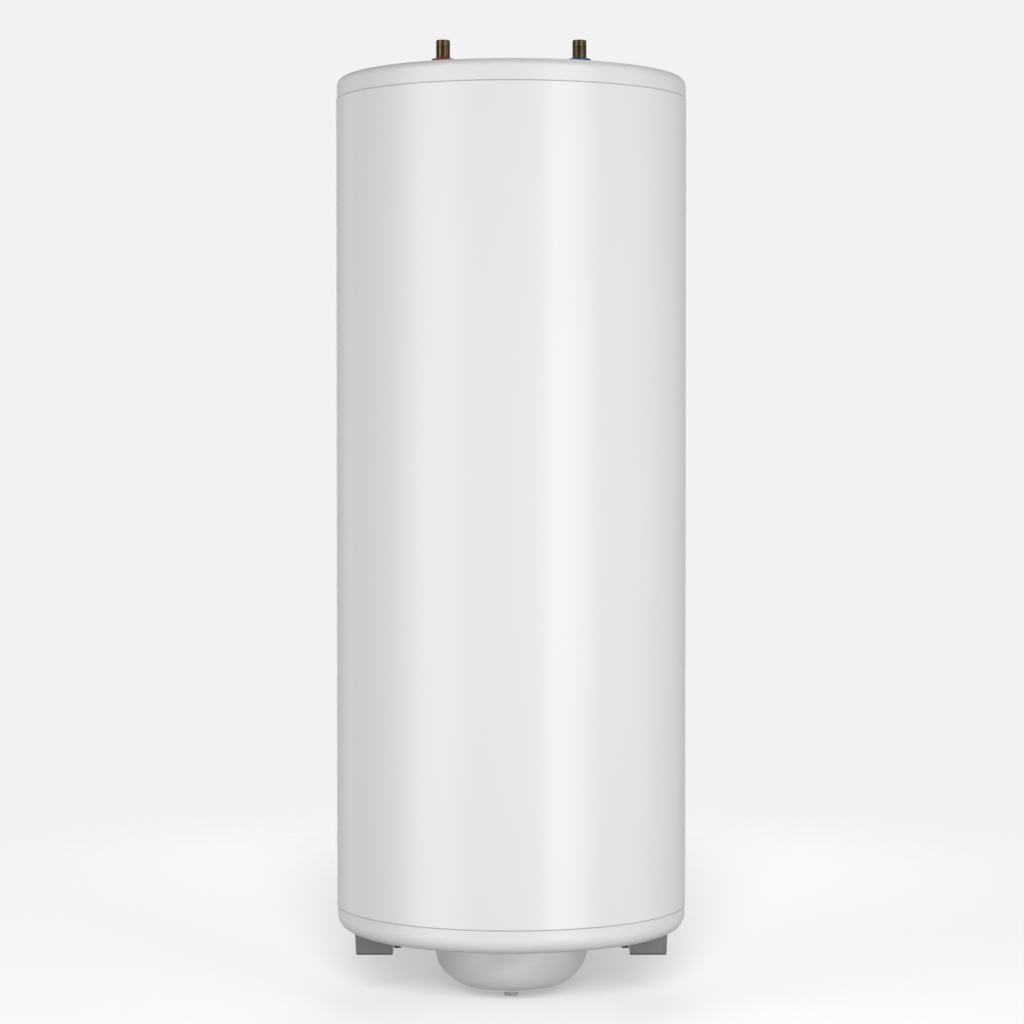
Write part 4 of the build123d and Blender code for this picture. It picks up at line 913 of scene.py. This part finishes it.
@dataclass
class ServiceCover(SubAssembly):
    """Bowl-shaped cover with its hand screw and grommet, and the stud that holds it."""

    nodes: tuple[str, ...] = ("cover_stud", "cover_stud_nut", "cover", "cover_screw",
                              "cable_grommet")
    stud_r: float = 3.0
    stud_pitch: float = 1.0
    nut_af: float = 10.0
    slot_l: float = 13.0
    slot_w: float = 1.8
    seal_r: float = 0.6
    seal_at: float = 119.8
    segments: int = 240

    def detail(self) -> None:
        """Add the threaded stud, its nut, a dark bar that paints the shade of the hand screw's coin
        slot, and the rim's seal.
        """
        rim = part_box("cover")[1].z / MM - 0.15
        turn = np.linspace(0.0, 2 * np.pi, 13)
        cord = np.stack([self.seal_at + self.seal_r * np.cos(turn),
                         rim + self.seal_r * np.sin(turn)], axis=1)
        self.add(grid_mesh("cover_rim_seal", lathe(cord, self.segments)[None]), "seal_rubber",
                 "service_cover")
        low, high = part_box("cover_stud")
        rod = thread(self.stud_r, self.stud_pitch, self.stud_pitch * THREAD_DEPTH,
                     low.z / MM, high.z / MM)
        self.add(grid_mesh("cover_stud_thread", rod[None], 60.0), "zinc", instead_of="cover_stud")
        low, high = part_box("cover_stud_nut")
        nut = hexagon_nut(self.nut_af, self.stud_r, low.z / MM, high.z / MM)
        self.add(grid_mesh("chamfered_cover_nut", nut[None]), "zinc", instead_of="cover_stud_nut")
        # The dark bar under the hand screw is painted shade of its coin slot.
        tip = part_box("cover_screw")[0].z / MM
        reach = np.linspace(-self.slot_l / 2, self.slot_l / 2, 6)
        path = np.stack([reach, 0 * reach, tip + 0.04 + 0 * reach], axis=1)
        slot = sweep(path, bar_section(self.slot_w, 0.04), (0.0, 0.0, -1.0))
        self.add(grid_mesh("hand_screw_slot_shade", slot[None]), "control_black", "service_cover")


@dataclass
class Feet(SubAssembly):
    """Four pressed feet with their rubber pads and the bolts that hold them."""

    nodes: tuple[str, ...] = ("foot_front_left", "foot_front_right", "foot_rear_left",
                              "foot_rear_right", "foot_pads", "foot_screws")


@dataclass(frozen=True)
class Panel:
    """An upright soft light that faces the heater's axis.

    azimuth_deg is 0 towards the camera and positive to its right, spread_deg
    is the angle that the panel takes up seen from the axis, and radiance is
    the brightness of its face.
    """

    name: str
    azimuth_deg: float
    spread_deg: float
    radiance: float
    reach: float = 2.6
    low: float = -1.3
    high: float = 2.7


@dataclass(frozen=True)
class Fill:
    """A soft disc that lights the service cover alone, as the pale floor close under it would.

    azimuth_deg is 0 towards the camera and positive to its right, and
    height_deg is the angle above the cover's level, negative from below.
    """

    name: str
    azimuth_deg: float
    height_deg: float
    radiance: float
    away: float = 1.5
    size: float = 0.6


@dataclass
class Studio:
    """Camera, lamps, world and floor."""

    camera_y: float = -4.5485
    camera_z: float = 0.789
    pitch_deg: float = 1.358
    focal_px: float = 2887.5
    centre_px: float = 511.25
    sensor_mm: float = 36.0
    background: str = "F2F2F2"
    room: float = 0.12
    walls: float = 0.45
    wall_top: float = 0.15
    wall_foot: float = -0.2
    ceiling: float = 0.15
    ground: float = 0.2
    fade_over: float = 0.25
    fade_under: float = 0.15
    overhead_size: float = 1.8
    overhead_x: float = 0.3
    overhead_y: float = 1.3
    overhead_z: float = 3.3
    overhead_radiance: float = 1.6
    sun_height_deg: float = 16.5
    sun_spread_deg: float = 24.0
    sun_strength: float = 8.3
    cover_z: float = -0.03
    floor_z: float = -0.0834
    floor_r: float = 2.6
    floor_segments: int = 96
    fade_r: float = 1.0
    fade_rim: float = 0.98
    floor_colour: str = "C0C0C0"
    floor_glow: float = 0.25
    panels: tuple[Panel, ...] = (
        Panel("left_rear", -126.0, 9.0, 0.66),
        Panel("left_edge", -72.0, 9.0, 0.3),
        Panel("left_outer", -63.0, 9.0, 1.7),
        Panel("left_window", -54.0, 9.0, 2.65),
        Panel("left_wing", -40.5, 18.0, 2.0),
        Panel("right_strip", 27.0, 9.0, 4.35),
        Panel("right_wing", 40.5, 18.0, 2.6),
        Panel("right_side", 81.0, 27.0, 0.75),
        Panel("rear", 180.0, 36.0, 2.2),
    )
    fills: tuple[Fill, ...] = (
        Fill("fill_below", 0.0, -45.0, 1.75, size=1.2),
        Fill("fill_right", 68.0, 0.0, 3.1),
        Fill("fill_left", -68.0, 0.0, 0.7),
    )

    def set_camera(self) -> None:
        """Place the camera at the photograph's height, distance and lens."""
        data = bpy.data.cameras.new("camera")
        data.sensor_width = self.sensor_mm
        data.lens = self.focal_px / IMAGE_PX * self.sensor_mm
        data.shift_x = (IMAGE_PX / 2 - self.centre_px) / IMAGE_PX
        camera = bpy.data.objects.new("camera", data)
        camera.location = (0.0, self.camera_y, self.camera_z)
        camera.rotation_euler = (math.radians(90.0 - self.pitch_deg), 0.0, 0.0)
        bpy.context.scene.collection.objects.link(camera)
        bpy.context.scene.camera = camera

    def set_world(self) -> None:
        """Light the room evenly, and show a pale backdrop to camera, gloss and glass.

        Gloss sees that backdrop as a band: a studio's ceiling and the ground
        under the heater are darker than its walls.
        """
        world = bpy.data.worlds.new("studio")
        bpy.context.scene.world = world
        world.use_nodes = True
        tree = world.node_tree
        tree.nodes.clear()
        path = add_node(tree, "ShaderNodeLightPath")
        seen = add_node(tree, "ShaderNodeMath", {0: path.outputs["Is Camera Ray"],
                                                 1: path.outputs["Is Transmission Ray"]},
                        operation="MAXIMUM")
        way = add_node(tree, "ShaderNodeTexCoord").outputs["Generated"]
        height = add_node(tree, "ShaderNodeSeparateXYZ", {"Vector": way}).outputs["Z"]
        over = add_node(tree, "ShaderNodeMapRange", {
            "Value": height, "From Min": self.wall_top, "From Max": self.wall_top + self.fade_over,
            "To Min": self.walls, "To Max": self.ceiling}, interpolation_type="SMOOTHSTEP")
        under = add_node(tree, "ShaderNodeMapRange", {
            "Value": height, "From Min": self.wall_foot - self.fade_under,
            "From Max": self.wall_foot, "To Min": self.ground, "To Max": self.walls},
            interpolation_type="SMOOTHSTEP")
        band = add_node(tree, "ShaderNodeMath", {0: over.outputs["Result"],
                                                 1: under.outputs["Result"]}, operation="MINIMUM")
        room = add_node(tree, "ShaderNodeBackground", {"Color": (1, 1, 1, 1),
                                                       "Strength": self.room})
        walls = add_node(tree, "ShaderNodeBackground", {"Color": linear(self.background),
                                                        "Strength": band.outputs[0]})
        backdrop = add_node(tree, "ShaderNodeBackground", {"Color": linear(self.background)})
        glossy = add_node(tree, "ShaderNodeMixShader", {0: path.outputs["Is Glossy Ray"],
                                                        1: room.outputs[0], 2: walls.outputs[0]})
        mixed = add_node(tree, "ShaderNodeMixShader", {0: seen.outputs[0], 1: glossy.outputs[0],
                                                       2: backdrop.outputs[0]})
        add_node(tree, "ShaderNodeOutputWorld", {"Surface": mixed.outputs[0]})

    def add_lamp(self, name: str, kind: str, place: Triple, turn: Triple,
                 **settings: Any) -> bpy.types.Object:
        """Add a lamp that the camera doesn't see.

        Args:
            name: name of the lamp.
            kind: Blender's name of the lamp type.
            place: location in metres.
            turn: rotation in radians.
            **settings: attributes of the lamp's data, in the order in which they are set.

        Returns:
            The lamp's object.
        """
        data = bpy.data.lights.new(name, kind)
        for key, value in settings.items():
            setattr(data, key, value)
        lamp = bpy.data.objects.new(name, data)
        lamp.location, lamp.rotation_euler = place, turn
        lamp.visible_camera = False
        bpy.context.scene.collection.objects.link(lamp)
        return lamp

    def add_disc(self, name: str, place: Triple, turn: Triple, size: float,
                 radiance: float) -> bpy.types.Object:
        """Add a round soft lamp whose face has the given radiance."""
        return self.add_lamp(name, "AREA", place, turn, shape="DISK", size=size,
                             energy=radiance * math.pi * math.pi * size ** 2 / 4)

    def add_panel(self, panel: Panel) -> None:
        """Stand one upright soft light beside the heater."""
        width = 2 * panel.reach * math.tan(math.radians(panel.spread_deg / 2))
        height = panel.high - panel.low
        turn = math.radians(panel.azimuth_deg)
        place = (panel.reach * math.sin(turn), -panel.reach * math.cos(turn),
                 (panel.low + panel.high) / 2)
        self.add_lamp(panel.name, "AREA", place, (math.pi / 2, 0.0, turn), shape="RECTANGLE",
                      size=width, size_y=height, energy=panel.radiance * math.pi * width * height)

    def add_overhead(self) -> None:
        """Hang a broad soft light over the heater, well behind it, for its top."""
        self.add_disc("overhead", (self.overhead_x, self.overhead_y, self.overhead_z),
                      (0.0, 0.0, 0.0), self.overhead_size, self.overhead_radiance)

    def add_floor(self) -> None:
        """Lay a pale round floor that takes the heater's shadow and fades into the backdrop.

        It shows to the camera alone and lets the lamps' light through, so the
        heater is lit alike from top to bottom, and from below it can't be seen.
        """
        mesh = bpy.data.meshes.new("floor")
        angle = np.linspace(0.0, 2 * np.pi, self.floor_segments, endpoint=False)
        ring = np.stack([np.cos(angle), np.sin(angle), np.zeros_like(angle)], 1) * self.floor_r
        ring[:, 2] = self.floor_z
        mesh.from_pydata(ring.tolist(), [], [list(range(len(ring)))])
        floor = bpy.data.objects.new("floor", mesh)
        floor.visible_diffuse = False
        floor.visible_glossy = False
        floor.visible_transmission = False
        floor.visible_shadow = False
        bpy.context.scene.collection.objects.link(floor)
        material = fresh_material("pale_floor")
        tree = material.node_tree
        place = add_node(tree, "ShaderNodeTexCoord").outputs["Object"]
        out = add_node(tree, "ShaderNodeVectorMath", {0: place}, operation="LENGTH")
        fade = add_node(tree, "ShaderNodeMapRange", {
            "Value": out.outputs["Value"], "From Min": self.fade_r,
            "From Max": self.floor_r * self.fade_rim}, interpolation_type="SMOOTHERSTEP")
        below = add_node(tree, "ShaderNodeNewGeometry").outputs["Backfacing"]
        clear = add_node(tree, "ShaderNodeMath", {0: fade.outputs["Result"], 1: below},
                         operation="MAXIMUM")
        matt = add_node(tree, "ShaderNodeBsdfDiffuse", {"Color": linear(self.floor_colour)})
        glow = add_node(tree, "ShaderNodeEmission", {"Color": linear(self.background),
                                                     "Strength": self.floor_glow})
        lit = add_node(tree, "ShaderNodeAddShader", {0: matt.outputs[0], 1: glow.outputs[0]})
        through = add_node(tree, "ShaderNodeBsdfTransparent")
        shader = add_node(tree, "ShaderNodeMixShader", {0: clear.outputs[0], 1: lit.outputs[0],
                                                        2: through.outputs[0]})
        mesh.materials.append(close_material(material, shader))
        self.add_floor_light(floor)

    def light_only(self, lamp: bpy.types.Object, lit: list[bpy.types.Object]) -> None:
        """Let a lamp light nothing but the objects in lit."""
        group = bpy.data.collections.new(lamp.name + "_only")
        for item in lit:
            group.objects.link(item)
        lamp.light_linking.receiver_collection = group

    def add_floor_light(self, floor: bpy.types.Object) -> None:
        """Shine on the floor alone from the front, so that the heater's shadow falls behind it.

        Args:
            floor: the one object that this lamp lights.
        """
        turn = (math.radians(90.0 - self.sun_height_deg), 0.0, 0.0)
        lamp = self.add_lamp("floor_light", "SUN", (0.0, 0.0, 0.0), turn,
                             energy=self.sun_strength, angle=math.radians(self.sun_spread_deg))
        self.light_only(lamp, [floor])

    def add_fill(self, fill: Fill) -> None:
        """Hang one soft disc that lights the service cover and its screw alone."""
        turn, rise = math.radians(fill.azimuth_deg), math.radians(fill.height_deg)
        place = (fill.away * math.sin(turn) * math.cos(rise),
                 -fill.away * math.cos(turn) * math.cos(rise),
                 self.cover_z + fill.away * math.sin(rise))
        lamp = self.add_disc(fill.name, place, (math.pi / 2 - rise, 0.0, turn), fill.size,
                             fill.radiance)
        self.light_only(lamp, [frame["nodes"][name] for name in ("cover", "cover_screw")])

    def build(self) -> None:
        """Set up everything around the heater."""
        self.set_camera()
        self.set_world()
        bpy.context.scene.view_settings.view_transform = "Standard"
        for panel in self.panels:
            self.add_panel(panel)
        self.add_overhead()
        self.add_floor()
        for fill in self.fills:
            self.add_fill(fill)


def main() -> None:
    """Build the scene: the studio first, then the heater group by group."""
    logging.basicConfig(level=logging.INFO, format="%(name)s: %(message)s")
    Studio().build()
    palette = Palette()
    for group in (Casing, Connections, Vessel, HeatingFlange, Controls, ServiceCover, Feet):
        group(palette).build()


if __name__ == "__main__":
    main()
